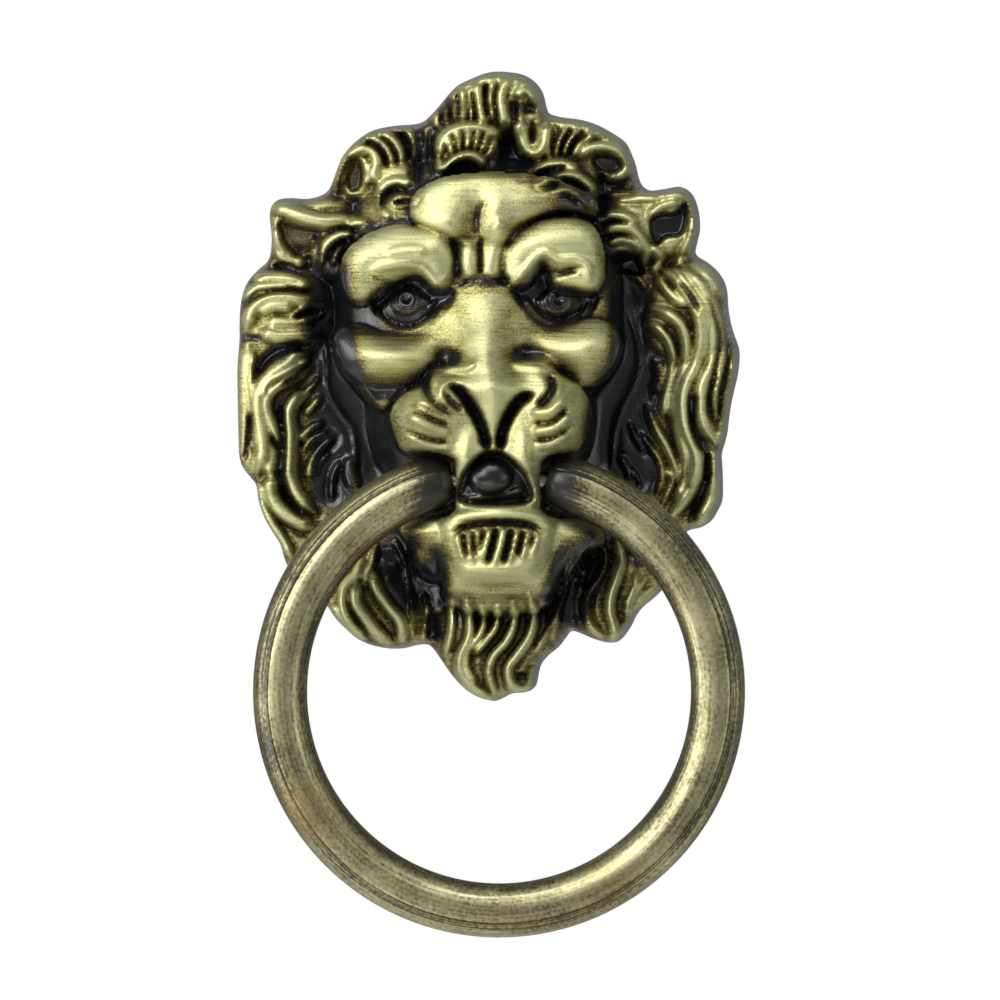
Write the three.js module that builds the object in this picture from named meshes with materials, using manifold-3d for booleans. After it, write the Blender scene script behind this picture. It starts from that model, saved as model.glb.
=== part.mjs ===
// A lion-head door knocker. A die-cast mask, hollow behind, carries a split ring in its mouth. The ring
// turns on a steel pin that crosses the muzzle, and two threaded studs, each with a plain washer, a split
// lock washer and a cap nut, clamp the mask through the door.
//
// Millimetres, +Z up. The door's face is the plane y = 0: the mask stands out from it towards -Y, and the
// studs run through the door towards +Y. x = 0 is the ring's own middle plane, and the origin is on the
// door's face, midway between the two studs.
//
// The mask is modelled as a relief: x across, z up, and "depth" the height above the door's face.
import * as THREE from "three";
import { mergeVertices } from "three/addons/utils/BufferGeometryUtils.js";
import Module from "manifold-3d";

const wasm = await Module();
wasm.setup();

// ---- driving dimensions ------------------------------------------------------------------------------

const BAR_RADIUS = 2.83; // the ring is bent from 5.7 mm bar
const RING_OUTER_RADIUS = 25.7; // 51 mm across, a two-inch ring
const RING_RADIUS = RING_OUTER_RADIUS - BAR_RADIUS; // to the middle of the bar
const RING_CENTRE_Z = -32;

const MUZZLE_HALF_WIDTH = 4.4; // the block that the pin crosses
const END_GAP = 0.3; // between the muzzle's side and the ring's end
const RING_END_X = MUZZLE_HALF_WIDTH + END_GAP;

const PIVOT_DEPTH = 12.6;
const PIVOT_Z = RING_CENTRE_Z + 22; // just under the bar's own middle at the ring's ends
const PIN_RADIUS = 0.9;
const PIN_BORE_RADIUS = 1;
const PIN_BITE = 2.7; // how far the pin reaches into each end of the ring
const SOCKET_RADIUS = 3.7; // the recess that the ring's end turns in

const STUD_RADIUS = 2; // M4
const STUD_HOLE_RADIUS = 2.13;
const STUD_PITCH = 32;
const STUD_BITE = 7.5; // thread held in the mask's boss
const BOSS_RADIUS = 4.2;
const BOSS_DEPTH = 10;
const WEB_THICKNESS = 2;
const DOOR_THICKNESS = 20;
const STACK_GAP = 0.3; // between the stacked washers and the nut

const WASHER = { inner: 2.15, outer: 4.5, thick: 0.8 };
const LOCK_WASHER = { inner: 2.15, outer: 3.8, thick: 0.9, split: 0.9 };
const CAP_NUT = { acrossFlats: 7, hexHeight: 3.2, height: 8, domeRadius: 3.25, holeDepth: 5.6 };

const RIM_THICKNESS = 3; // the mask's thinnest edge
const RELIEF_STEP = 1.25; // between the points that the mask's front is modelled on
const EASE_RADIUS = 1.1;
const REAR_HOLLOW_DEPTH = 1.8;
const SKULL_HOLLOW = { x: -2.2, z: 5, halfWidth: 11.6, halfHeight: 13, depth: 8.6 };

// ---- colours -----------------------------------------------------------------------------------------

const antiqueBronze = new THREE.MeshStandardMaterial({ color: 0xa8a468, roughness: 0.38, metalness: 0.9 });
const zincSteel = new THREE.MeshStandardMaterial({ color: 0xc2c6c9, roughness: 0.32, metalness: 1 });
const pinSteel = new THREE.MeshStandardMaterial({ color: 0x8d9093, roughness: 0.28, metalness: 1 });

// ---- booleans ----------------------------------------------------------------------------------------

/** A closed geometry as a solid that can be joined and cut. */
function solid(geometry) {
  const bare = new THREE.BufferGeometry();
  bare.setAttribute("position", geometry.getAttribute("position").clone());
  bare.setIndex(geometry.index);
  const merged = mergeVertices(bare, 1e-4);
  return new wasm.Manifold(
    new wasm.Mesh({
      numProp: 3,
      vertProperties: merged.attributes.position.array,
      triVerts: new Uint32Array(merged.index.array),
    }),
  );
}

/** A solid as a geometry again. */
function geometryOf(made) {
  const mesh = made.getMesh();
  const geometry = new THREE.BufferGeometry();
  geometry.setAttribute("position", new THREE.BufferAttribute(mesh.vertProperties, 3));
  geometry.setIndex(new THREE.BufferAttribute(mesh.triVerts, 1));
  geometry.computeVertexNormals();
  return geometry;
}

/** Every solid of a list joined into one. */
const joined = (solids) => solids.reduce((all, next) => all.add(next));

/** Turns a relief, drawn with its depth along +Z, so that it stands out of the door towards -Y. */
const standUp = (geometry) => geometry.rotateX(Math.PI / 2);

/** A cylinder along Y between two places on that axis. */
function rodAlongY(radius, from, to, x, z, sides = 16) {
  return new THREE.CylinderGeometry(radius, radius, to - from, sides).translate(x, (from + to) / 2, z);
}

/** A cylinder along X through the pivot. */
function rodAlongPivot(radius, halfLength, sides = 16) {
  return new THREE.CylinderGeometry(radius, radius, 2 * halfLength, sides)
    .rotateZ(Math.PI / 2)
    .translate(0, -PIVOT_DEPTH, PIVOT_Z);
}

// ---- the mask ----------------------------------------------------------------------------------------

// The mask's outline, [x, z], clockwise from the notch left of the top tuft.
const OUTLINE = [
  [-7.9, 28.1], [-6.9, 29.8], [-4.6, 32.1], [-2.6, 33.0], [0, 33.4], [2.2, 33.1], [3.8, 32.0], [4.7, 30.5],
  [5.1, 29.1], [6.3, 28.7], [8.6, 28.3], [10.8, 27.4], [12.8, 26.2], [14.1, 24.6], [14.7, 22.8], [15.1, 21.3],
  [16.2, 20.8], [17.6, 20.9], [19.1, 21.3], [20.5, 20.6], [21.2, 19.0], [21.3, 16.8], [21.0, 14.0],
  [22.5, 12.8], [23.7, 11.2], [24.4, 9.2], [24.6, 7.4], [25.3, 5.4], [25.6, 3.4], [25.4, 1.2], [24.9, -1.0],
  [24.5, -3.6], [24.0, -5.6], [23.6, -7.2], [23.8, -9.4], [23.7, -11.8], [23.0, -13.6], [21.6, -14.7],
  [19.9, -15.4], [18.8, -17.2], [18.2, -19.6], [17.2, -21.7], [15.2, -23.4], [14.3, -25.0], [13.4, -26.6],
  [12.3, -27.1], [10.6, -26.7], [9.1, -26.0], [7.8, -25.8], [7.0, -26.9], [6.0, -28.2], [4.8, -29.0],
  [4.3, -30.4], [3.8, -31.9], [2.4, -32.5], [1.1, -32.7], [-0.4, -33.3], [-1.8, -32.9], [-3.4, -32.1],
  [-4.7, -30.8], [-5.6, -29.3], [-6.9, -27.7], [-8.2, -27.3], [-10.4, -27.8], [-12.8, -27.5],
  [-15.2, -26.4], [-17.0, -24.8], [-18.6, -22.6], [-20.8, -20.6], [-22.5, -18.6], [-23.2, -16.8],
  [-24.4, -15.0], [-25.2, -13.0], [-25.6, -10.9], [-26.9, -9.6], [-27.6, -8.2], [-27.7, -5.0],
  [-27.7, -1.0], [-27.8, 3.0], [-27.6, 7.0], [-27.1, 9.8], [-26.0, 11.8], [-24.4, 13.4], [-24.2, 16.0],
  [-24.4, 18.6], [-23.6, 19.9], [-22.2, 20.1], [-20.2, 19.9], [-18.3, 20.6], [-17.6, 21.9], [-16.9, 24.1],
  [-15.7, 25.9], [-13.9, 27.2], [-11.6, 27.7], [-9.4, 27.8],
];

// The rear hollow's own outline, about a wall's thickness inside the mask's.
const HOLLOW_OUTLINE = [
  [-1, 30.6], [3, 27], [10, 24.6], [13, 19.6], [18.4, 17.6], [20.6, 10], [22.6, 3], [21.4, -6],
  [20.4, -12], [15.6, -17.4], [11.4, -23.4], [5.6, -24.6], [0, -29.8], [-5, -25.8], [-12.4, -24.8],
  [-17, -20.4], [-21.4, -14.4], [-23.8, -8], [-25, 0], [-24.4, 8], [-21.4, 13], [-20.6, 17.4],
  [-15.6, 18.6], [-13.4, 24.4], [-8, 25.2],
];

// The modelled forms: middle x and z, half width, half height, depth they rise from, depth at the top,
// and turn in degrees.
const FORMS = [
  [-0.8, 0.5, 27, 33, 3.2, 6.6, 0], // the mane's ground
  [-1.8, 5.5, 15.6, 19.5, 4, 12.4, 0], // skull
  [-0.6, 17.6, 9, 5, 9, 15.4, 0], // forehead
  [-10, 12.8, 6.4, 4.2, 9, 15.6, 8], // left brow
  [5.9, 13.6, 5.9, 4.2, 9, 15.6, -6], // right brow
  [-1.6, 8, 3.9, 9.6, 9, 16.8, 0], // nose bridge
  [-0.7, 1.6, 5.6, 4, 12, 20.6, 0], // nose
  [-11.6, 3, 6, 4.4, 8, 14.6, 0], // left cheek
  [8.9, 3.6, 5.6, 4.4, 8, 14.6, 0], // right cheek
  [-0.7, -4, 3.6, 5, 12, 18.4, 0], // middle of the muzzle
  [-6.9, -3.6, 5.2, 4.3, 8, 19.2, 0], // left whisker pad
  [5.3, -3.4, 5, 4.3, 8, 19.2, 0], // right whisker pad
  [0, -10.6, 6.6, 5.6, 11, 17.8, 0], // the block that the pin crosses
  [0, -16.8, 7.2, 5, 6, 16.6, 0], // chin
  [-0.3, -23, 8, 5, 4, 8.6, 0], // throat
  [-0.8, -27.4, 6, 6.4, 3.6, 8.4, 0], // beard
  [-0.6, 29.6, 5.2, 4, 4, 7.6, 0], // top tuft
  [-3.6, 24.6, 4, 3.4, 5, 9.8, 0], // forelock
  [-12.6, 24, 4.4, 3.8, 4, 8, 20], // upper left tuft
  [-10.6, 20.6, 3.6, 2.2, 5, 8.8, 10], // curl over the left brow
  [8.6, 25.2, 6, 3.2, 4, 8, -18], // upper right tuft
  [7, 21.3, 4, 2.6, 5, 9.8, -24], // curl over the right brow
  [-20.3, 16.6, 4.2, 3.4, 4, 8, -8], // left ear
  [-16.2, 14.6, 2.8, 3, 4, 8.6, -30], // curl inside the left ear
  [17.7, 17.4, 3.7, 3.7, 4, 8, 16], // right ear
  [13, 16.4, 2.8, 3, 4, 8.6, 20], // curl inside the right ear
  [-23.2, 8.6, 4.4, 4, 4, 8, 10], // left locks, from the top
  [-25, 0.4, 2.4, 6.4, 4, 7, 0],
  [-21, -2.4, 2.6, 6, 4, 8, 0],
  [-25, -7.4, 2.4, 5, 4, 6.8, 8],
  [-21.4, -10.4, 2.8, 5.4, 4, 7.2, 14],
  [-18.2, -16.8, 3, 4, 4, 6.8, 36],
  [19.8, 9.6, 4, 4.4, 4, 8, -24], // right locks, from the top
  [23.2, 2.4, 2.4, 6.6, 4, 7, 0],
  [19.4, 1, 2.6, 6.4, 4, 8, 0],
  [21.6, -7, 2.6, 6, 4, 6.8, -4],
  [17.6, -10.6, 2.6, 5.4, 4, 7, -8],
  [16.6, -17.6, 2.6, 4.6, 4, 6.6, -20],
  [-14.6, -22.4, 3.4, 5, 4, 7.2, 14], // beard's side lobes
  [-9.6, -22.6, 2.8, 5, 4, 7.6, 10],
  [12.6, -21.8, 3.2, 5.2, 4, 7.2, -6],
  [8.4, -21, 2.6, 5.6, 4, 7.8, -14],
];
const PILLOW_POWER = 2.3; // the roundness of every form: 2 is an ellipsoid, more is squarer

const MOUTH = { left: -3.8, right: 3.2, floor: -12.3, shoulder: -9.6, top: -7.2, depth: 14.8 };
const TONGUE = { x: -0.3, z: -9.9, halfWidth: 2.3, halfHeight: 2, depth: 15.9 };

/** A shape through points by a closed smooth curve. */
function smoothShape(points) {
  const [first, ...rest] = points.map(([x, z]) => new THREE.Vector2(x, z));
  return new THREE.Shape().moveTo(first.x, first.y).splineThru([...rest, first]);
}

/** The depth of one form at a place, or nothing outside it. */
function formDepth([middleX, middleZ, halfWidth, halfHeight, from, top, turn], x, z) {
  const angle = THREE.MathUtils.degToRad(turn);
  const [dx, dz] = [x - middleX, z - middleZ];
  const across = Math.abs(dx * Math.cos(angle) + dz * Math.sin(angle)) / halfWidth;
  const along = Math.abs(dz * Math.cos(angle) - dx * Math.sin(angle)) / halfHeight;
  const inside = 1 - across ** PILLOW_POWER - along ** PILLOW_POWER;
  return inside > 0 ? from + (top - from) * inside ** (1 / PILLOW_POWER) : 0;
}

/** The highest form at a place. */
function highest(x, z) {
  return Math.max(RIM_THICKNESS, ...FORMS.map((form) => formDepth(form, x, z)));
}

/** The mask's front: the highest form, eased over the steps between one form and the next. */
function frontDepth(x, z) {
  const around = [[1, 0], [-1, 0], [0, 1], [0, -1]];
  const nearby = around.map(([dx, dz]) => highest(x + dx * EASE_RADIUS, z + dz * EASE_RADIUS));
  return (2 * highest(x, z) + nearby.reduce((sum, depth) => sum + depth)) / (2 + around.length);
}

/** A block as wide and high as the mask whose front face follows the forms. */
function relief() {
  const [width, height] = [56, 68];
  const columns = Math.round(width / RELIEF_STEP);
  const rows = Math.round(height / RELIEF_STEP);
  const block = new THREE.BoxGeometry(width, 2, height, columns, 1, rows).translate(-1, 0, 0);
  const places = block.getAttribute("position");
  for (let i = 0; i < places.count; i += 1) {
    if (places.getY(i) < 0) places.setY(i, -frontDepth(places.getX(i), places.getZ(i)));
  }
  return solid(block);
}

/** Half an ellipsoid that stands on the door's face. */
function dome({ x, z, halfWidth, halfHeight, depth }) {
  const cap = new THREE.SphereGeometry(1, 20, 12)
    .rotateX(Math.PI / 2)
    .scale(halfWidth, halfHeight, depth)
    .translate(x, z, 0);
  return solid(standUp(cap));
}

/** A flat shape drawn in x and z, from one depth to another. */
function slab(shape, fromDepth, toDepth, curveSegments = 1) {
  const extruded = new THREE.ExtrudeGeometry(shape, {
    depth: toDepth - fromDepth,
    bevelEnabled: false,
    curveSegments,
  });
  return solid(standUp(extruded.translate(0, 0, fromDepth)));
}

/** The recess beside the muzzle: round under the ring's end and open to the front. */
function socket(side) {
  const openFront = 30;
  const shape = new THREE.Shape()
    .moveTo(PIVOT_Z - SOCKET_RADIUS, openFront)
    .lineTo(PIVOT_Z - SOCKET_RADIUS, PIVOT_DEPTH)
    .absarc(PIVOT_Z, PIVOT_DEPTH, SOCKET_RADIUS, Math.PI, 2 * Math.PI, false)
    .lineTo(PIVOT_Z + SOCKET_RADIUS, openFront)
    .closePath();
  const reach = 10;
  const cut = new THREE.ExtrudeGeometry(shape, { depth: reach, bevelEnabled: false, curveSegments: 10 });
  // Drawn with z along X and depth along Y, and run along Z: its axes are turned round to the part's.
  cut.applyMatrix4(
    new THREE.Matrix4().makeBasis(
      new THREE.Vector3(0, 0, 1),
      new THREE.Vector3(0, -1, 0),
      new THREE.Vector3(1, 0, 0),
    ),
  );
  return solid(cut.translate(side > 0 ? MUZZLE_HALF_WIDTH : -MUZZLE_HALF_WIDTH - reach, 0, 0));
}

/** The open mouth between the muzzle's two cheeks. */
function mouth() {
  const middle = (MOUTH.left + MOUTH.right) / 2;
  const shape = new THREE.Shape()
    .moveTo(MOUTH.left, MOUTH.floor)
    .lineTo(MOUTH.right, MOUTH.floor)
    .lineTo(MOUTH.right, MOUTH.shoulder)
    .quadraticCurveTo(MOUTH.right - 1, MOUTH.top, middle, MOUTH.top)
    .quadraticCurveTo(MOUTH.left + 1, MOUTH.top, MOUTH.left, MOUTH.shoulder)
    .closePath();
  return slab(shape, MOUTH.depth, 30, 6);
}

function lionMask() {
  const inFrontOfDoor = solid(new THREE.BoxGeometry(80, 40, 90).translate(0, -20, 0));

  const hollow = slab(smoothShape(HOLLOW_OUTLINE), -1, REAR_HOLLOW_DEPTH, 2);
  const web = solid(
    new THREE.BoxGeometry(WEB_THICKNESS, BOSS_DEPTH, STUD_PITCH).translate(0, -BOSS_DEPTH / 2, 0),
  );
  const bosses = [1, -1].map((end) =>
    solid(rodAlongY(BOSS_RADIUS, -BOSS_DEPTH, 0, 0, (end * STUD_PITCH) / 2)),
  );
  const studHoles = [1, -1].map((end) =>
    solid(rodAlongY(STUD_HOLE_RADIUS, -STUD_BITE - STACK_GAP, 1, 0, (end * STUD_PITCH) / 2)),
  );

  return relief()
    .intersect(slab(smoothShape(OUTLINE), -2, 30))
    .subtract(joined([hollow, dome(SKULL_HOLLOW)]))
    .add(joined([web, ...bosses]))
    .intersect(inFrontOfDoor)
    .subtract(joined([socket(1), socket(-1), mouth(), ...studHoles]))
    .add(dome(TONGUE).intersect(mouth().translate(0, 0.5, 0)))
    .subtract(solid(rodAlongPivot(PIN_BORE_RADIUS, MUZZLE_HALF_WIDTH + 1)));
}

// ---- the ring and its pin ----------------------------------------------------------------------------

/** The ring: round bar bent to a circle, cut off square at the muzzle and drilled for the pin. */
function pullRing() {
  const circle = new THREE.TorusGeometry(RING_RADIUS, BAR_RADIUS, 14, 60)
    .rotateX(Math.PI / 2)
    .translate(0, -PIVOT_DEPTH, RING_CENTRE_Z);
  const muzzleSpace = new THREE.BoxGeometry(2 * RING_END_X, 20, 20).translate(0, -PIVOT_DEPTH, PIVOT_Z);
  const bore = rodAlongPivot(PIN_BORE_RADIUS, RING_END_X + PIN_BITE + END_GAP);
  return solid(circle).subtract(solid(muzzleSpace)).subtract(solid(bore));
}

const pivotPin = () => solid(rodAlongPivot(PIN_RADIUS, RING_END_X + PIN_BITE));

// ---- the fixings -------------------------------------------------------------------------------------

const washerStart = DOOR_THICKNESS;
const lockWasherStart = washerStart + WASHER.thick + STACK_GAP;
const nutStart = lockWasherStart + LOCK_WASHER.thick + STACK_GAP;
const studEnd = nutStart + CAP_NUT.holeDepth - STACK_GAP;

const stud = (z) => solid(rodAlongY(STUD_RADIUS, -STUD_BITE, studEnd, 0, z));

/** A flat ring round a stud. */
function flatRing({ inner, outer, thick }, from, z) {
  const disc = solid(rodAlongY(outer, from, from + thick, 0, z, 24));
  return disc.subtract(solid(rodAlongY(inner, from - 1, from + thick + 1, 0, z)));
}

/** A split ring: cut through at the top on a slant, as a coiled spring washer is. */
function lockWasher(z) {
  const middle = (LOCK_WASHER.inner + LOCK_WASHER.outer) / 2;
  const slit = new THREE.BoxGeometry(LOCK_WASHER.split, 4, 3)
    .rotateZ(THREE.MathUtils.degToRad(25))
    .translate(0, lockWasherStart + LOCK_WASHER.thick / 2, z + middle);
  return flatRing(LOCK_WASHER, lockWasherStart, z).subtract(solid(slit));
}

/** A hexagon nut closed by a dome. */
function capNut(z) {
  const corner = CAP_NUT.acrossFlats / Math.sqrt(3);
  const hexagon = solid(rodAlongY(corner, nutStart, nutStart + CAP_NUT.hexHeight, 0, z, 6));
  const shank = CAP_NUT.height - CAP_NUT.domeRadius;
  const profile = new THREE.Path()
    .moveTo(0, 0)
    .lineTo(CAP_NUT.domeRadius, 0)
    .lineTo(CAP_NUT.domeRadius, shank)
    .absarc(0, shank, CAP_NUT.domeRadius, 0, Math.PI / 2, false);
  const dome = new THREE.LatheGeometry(profile.getPoints(5), 16).translate(0, nutStart, z);
  const hole = rodAlongY(STUD_HOLE_RADIUS, nutStart - 1, nutStart + CAP_NUT.holeDepth, 0, z);
  return hexagon.add(solid(dome)).subtract(solid(hole));
}

// ---- assembly ----------------------------------------------------------------------------------------

const knocker = new THREE.Group();

function addPiece(name, made, material) {
  const mesh = new THREE.Mesh(geometryOf(made), material);
  mesh.name = name;
  knocker.add(mesh);
}

addPiece("lion_mask", lionMask(), antiqueBronze);
addPiece("pull_ring", pullRing(), antiqueBronze);
addPiece("pivot_pin", pivotPin(), pinSteel);
for (const [place, z] of [["upper", STUD_PITCH / 2], ["lower", -STUD_PITCH / 2]]) {
  addPiece(`${place}_stud`, stud(z), zincSteel);
  addPiece(`${place}_washer`, flatRing(WASHER, washerStart, z), zincSteel);
  addPiece(`${place}_lock_washer`, lockWasher(z), zincSteel);
  addPiece(`${place}_cap_nut`, capNut(z), zincSteel);
}

export default knocker;
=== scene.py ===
"""A lion-head door knocker: cast mask, pull ring, pivot pin and the fixings behind the door.

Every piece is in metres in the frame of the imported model: +Z up, the door's face at y = 0, the front
towards -Y. Sizes in this file are millimetres, and become metres where a mesh is made.
"""

import logging
import math
from collections.abc import Iterator
from contextlib import contextmanager
from dataclasses import dataclass, field
from enum import Enum

import bpy
import numpy as np
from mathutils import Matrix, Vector


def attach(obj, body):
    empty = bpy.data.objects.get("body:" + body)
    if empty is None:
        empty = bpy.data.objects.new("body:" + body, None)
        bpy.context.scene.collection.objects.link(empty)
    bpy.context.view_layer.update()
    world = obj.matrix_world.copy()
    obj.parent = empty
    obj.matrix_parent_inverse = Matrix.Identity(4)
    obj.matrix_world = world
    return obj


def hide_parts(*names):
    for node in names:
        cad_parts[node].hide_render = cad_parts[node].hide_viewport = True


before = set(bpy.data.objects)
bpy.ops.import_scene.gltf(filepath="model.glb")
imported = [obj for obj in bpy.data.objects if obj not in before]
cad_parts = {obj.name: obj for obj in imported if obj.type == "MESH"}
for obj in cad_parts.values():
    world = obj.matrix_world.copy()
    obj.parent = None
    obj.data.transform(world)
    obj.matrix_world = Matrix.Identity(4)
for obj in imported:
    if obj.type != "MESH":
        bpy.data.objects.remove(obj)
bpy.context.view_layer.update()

log = logging.getLogger("door_knocker")

MM = 0.001
Path = tuple[tuple[float, float], ...]
Window = tuple[slice, slice]
Place = tuple[float, float, float]
Socket = bpy.types.NodeSocket
Stops = tuple[tuple[float, str], ...]

PIVOT_DEPTH = 12.6
PIVOT_Z = -10.0
RING_CENTRE_Z = -32.0
RING_RADIUS = 22.87
BAR_RADIUS = 2.83


# ---- the relief's language ---------------------------------------------------------------------------


@dataclass(frozen=True)
class Pillow:
    """A rounded form of the mask: an ellipse on plan, domed above the depth it rises from."""

    x: float
    z: float
    half_width: float
    half_height: float
    base: float
    top: float
    turn: float = 0.0
    squareness: float = 2.2
    blend: float = 0.8


@dataclass(frozen=True)
class Swell:
    """A soft rise or dip with no edge of its own."""

    x: float
    z: float
    half_width: float
    half_height: float
    rise: float
    turn: float = 0.0


@dataclass(frozen=True)
class Plate:
    """A flat-topped form with a rounded edge."""

    points: Path
    base: float
    top: float
    edge: float


@dataclass(frozen=True)
class Lock:
    """A raised strand of hair, or a fold."""

    points: Path
    half_width: float
    rise: float


@dataclass(frozen=True)
class Cut:
    """A crease cut along a path, and the dark lacquer in it from 0 to 1. Below 0, lacquer is taken off: rims rubbed
    bright, and painted highlight along thin edges.
    """

    points: Path
    half_width: float
    depth: float
    lacquer: float


@dataclass(frozen=True)
class Pocket:
    """A sunk place with a soft wall, and the dark lacquer that lies in it, from 0 to 1."""

    points: Path
    depth: float
    slope: float
    lacquer: float


@dataclass(frozen=True)
class Bead:
    """An eyeball, with the middle of its iris."""

    x: float
    z: float
    half_width: float
    half_height: float
    rise: float
    iris_x: float
    iris_z: float


def smooth_path(points: Path, spacing: float, closed: bool = False) -> np.ndarray:
    """Runs a smooth curve through points.

    Args:
        points: the points that the curve passes through.
        spacing: the longest step along it, in millimetres.
        closed: whether the curve comes back to its first point.

    Returns:
        The points along the curve, one to a row. A closed one doesn't repeat its first point.
    """
    knots = np.array(points, float)
    count = len(knots)
    if count < 3:
        steps = max(2, int(np.ceil(np.linalg.norm(knots[1] - knots[0]) / spacing)) + 1)
        return knots[0] + (knots[1] - knots[0]) * np.linspace(0, 1, steps)[:, None]
    out = []
    for i in range(count if closed else count - 1):
        if closed:
            p0, p1, p2, p3 = (knots[(i + k) % count] for k in (-1, 0, 1, 2))
        else:
            p1, p2 = knots[i], knots[i + 1]
            p0 = knots[i - 1] if i else 2 * p1 - p2
            p3 = knots[i + 2] if i + 2 < count else 2 * p2 - p1
        steps = max(2, int(np.ceil(np.linalg.norm(p2 - p1) / spacing)))
        t = np.linspace(0, 1, steps, endpoint=False)[:, None]
        out.append(
            0.5 * (2 * p1 + (p2 - p0) * t + (2 * p0 - 5 * p1 + 4 * p2 - p3) * t**2
                   + (3 * p1 - p0 - 3 * p2 + p3) * t**3)
        )
    if not closed:
        out.append(knots[-1:])
    return np.concatenate(out)


def smooth_max(a: np.ndarray, b: np.ndarray, blend: float) -> np.ndarray:
    """Takes the larger of two heights, eased where they meet.

    Args:
        a: one height at each point.
        b: the other height at each point.
        blend: the difference in height over which one passes into the other.

    Returns:
        The eased height at each point.
    """
    near = np.clip(0.5 + 0.5 * (a - b) / blend, 0, 1)
    return b + (a - b) * near + blend * near * (1 - near)


def eased(share: np.ndarray) -> np.ndarray:
    """A smooth step from 0 to 1."""
    share = np.clip(share, 0, 1)
    return share * share * (3 - 2 * share)


def rounded(share: np.ndarray) -> np.ndarray:
    """A quarter circle's rise from 0 to 1."""
    return np.sqrt(1 - (1 - share) ** 2)


def tapered(along: np.ndarray, rate: float, blunt: float) -> np.ndarray:
    """How full a strand or a cut is along its length: blunt at its tips, and rising to 1 at a rate."""
    return np.clip(np.minimum(along, 1 - along) * rate + blunt, 0, 1)


def blurred(field: np.ndarray, sigma: float) -> np.ndarray:
    """Blurs a grid of values by a Gaussian.

    Args:
        field: the values.
        sigma: the blur's size in grid steps.

    Returns:
        The blurred values, on the same grid.
    """
    reach = max(1, int(round(3 * sigma)))
    kernel = np.exp(-0.5 * (np.arange(-reach, reach + 1) / sigma) ** 2)
    kernel /= kernel.sum()
    for axis in (0, 1):
        margins = [(reach, reach) if a == axis else (0, 0) for a in (0, 1)]
        padded = np.pad(field, margins, mode="edge")
        field = np.apply_along_axis(lambda line: np.convolve(line, kernel, mode="valid"), axis, padded)
    return field


def grid_squares(keep: np.ndarray) -> np.ndarray:
    """The corners' numbers of every grid square whose corners are all kept, in order round it.

    Args:
        keep: which grid points are kept.

    Returns:
        One row of four point numbers for each such square.
    """
    squares = keep[:-1, :-1] & keep[1:, :-1] & keep[:-1, 1:] & keep[1:, 1:]
    index = np.arange(keep.size).reshape(keep.shape)
    return np.stack([index[:-1, :-1], index[:-1, 1:], index[1:, 1:], index[1:, :-1]], -1)[squares]


def numbered(size: int, used: np.ndarray, start: int = 0) -> np.ndarray:
    """A table from a grid point's number to its number among the points that are used, or -1.

    Args:
        size: how many points the grid has.
        used: the numbers of the points that are used.
        start: the number that the first of them gets.

    Returns:
        The table.
    """
    table = np.full(size, -1)
    table[used] = start + np.arange(len(used))
    return table


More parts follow.
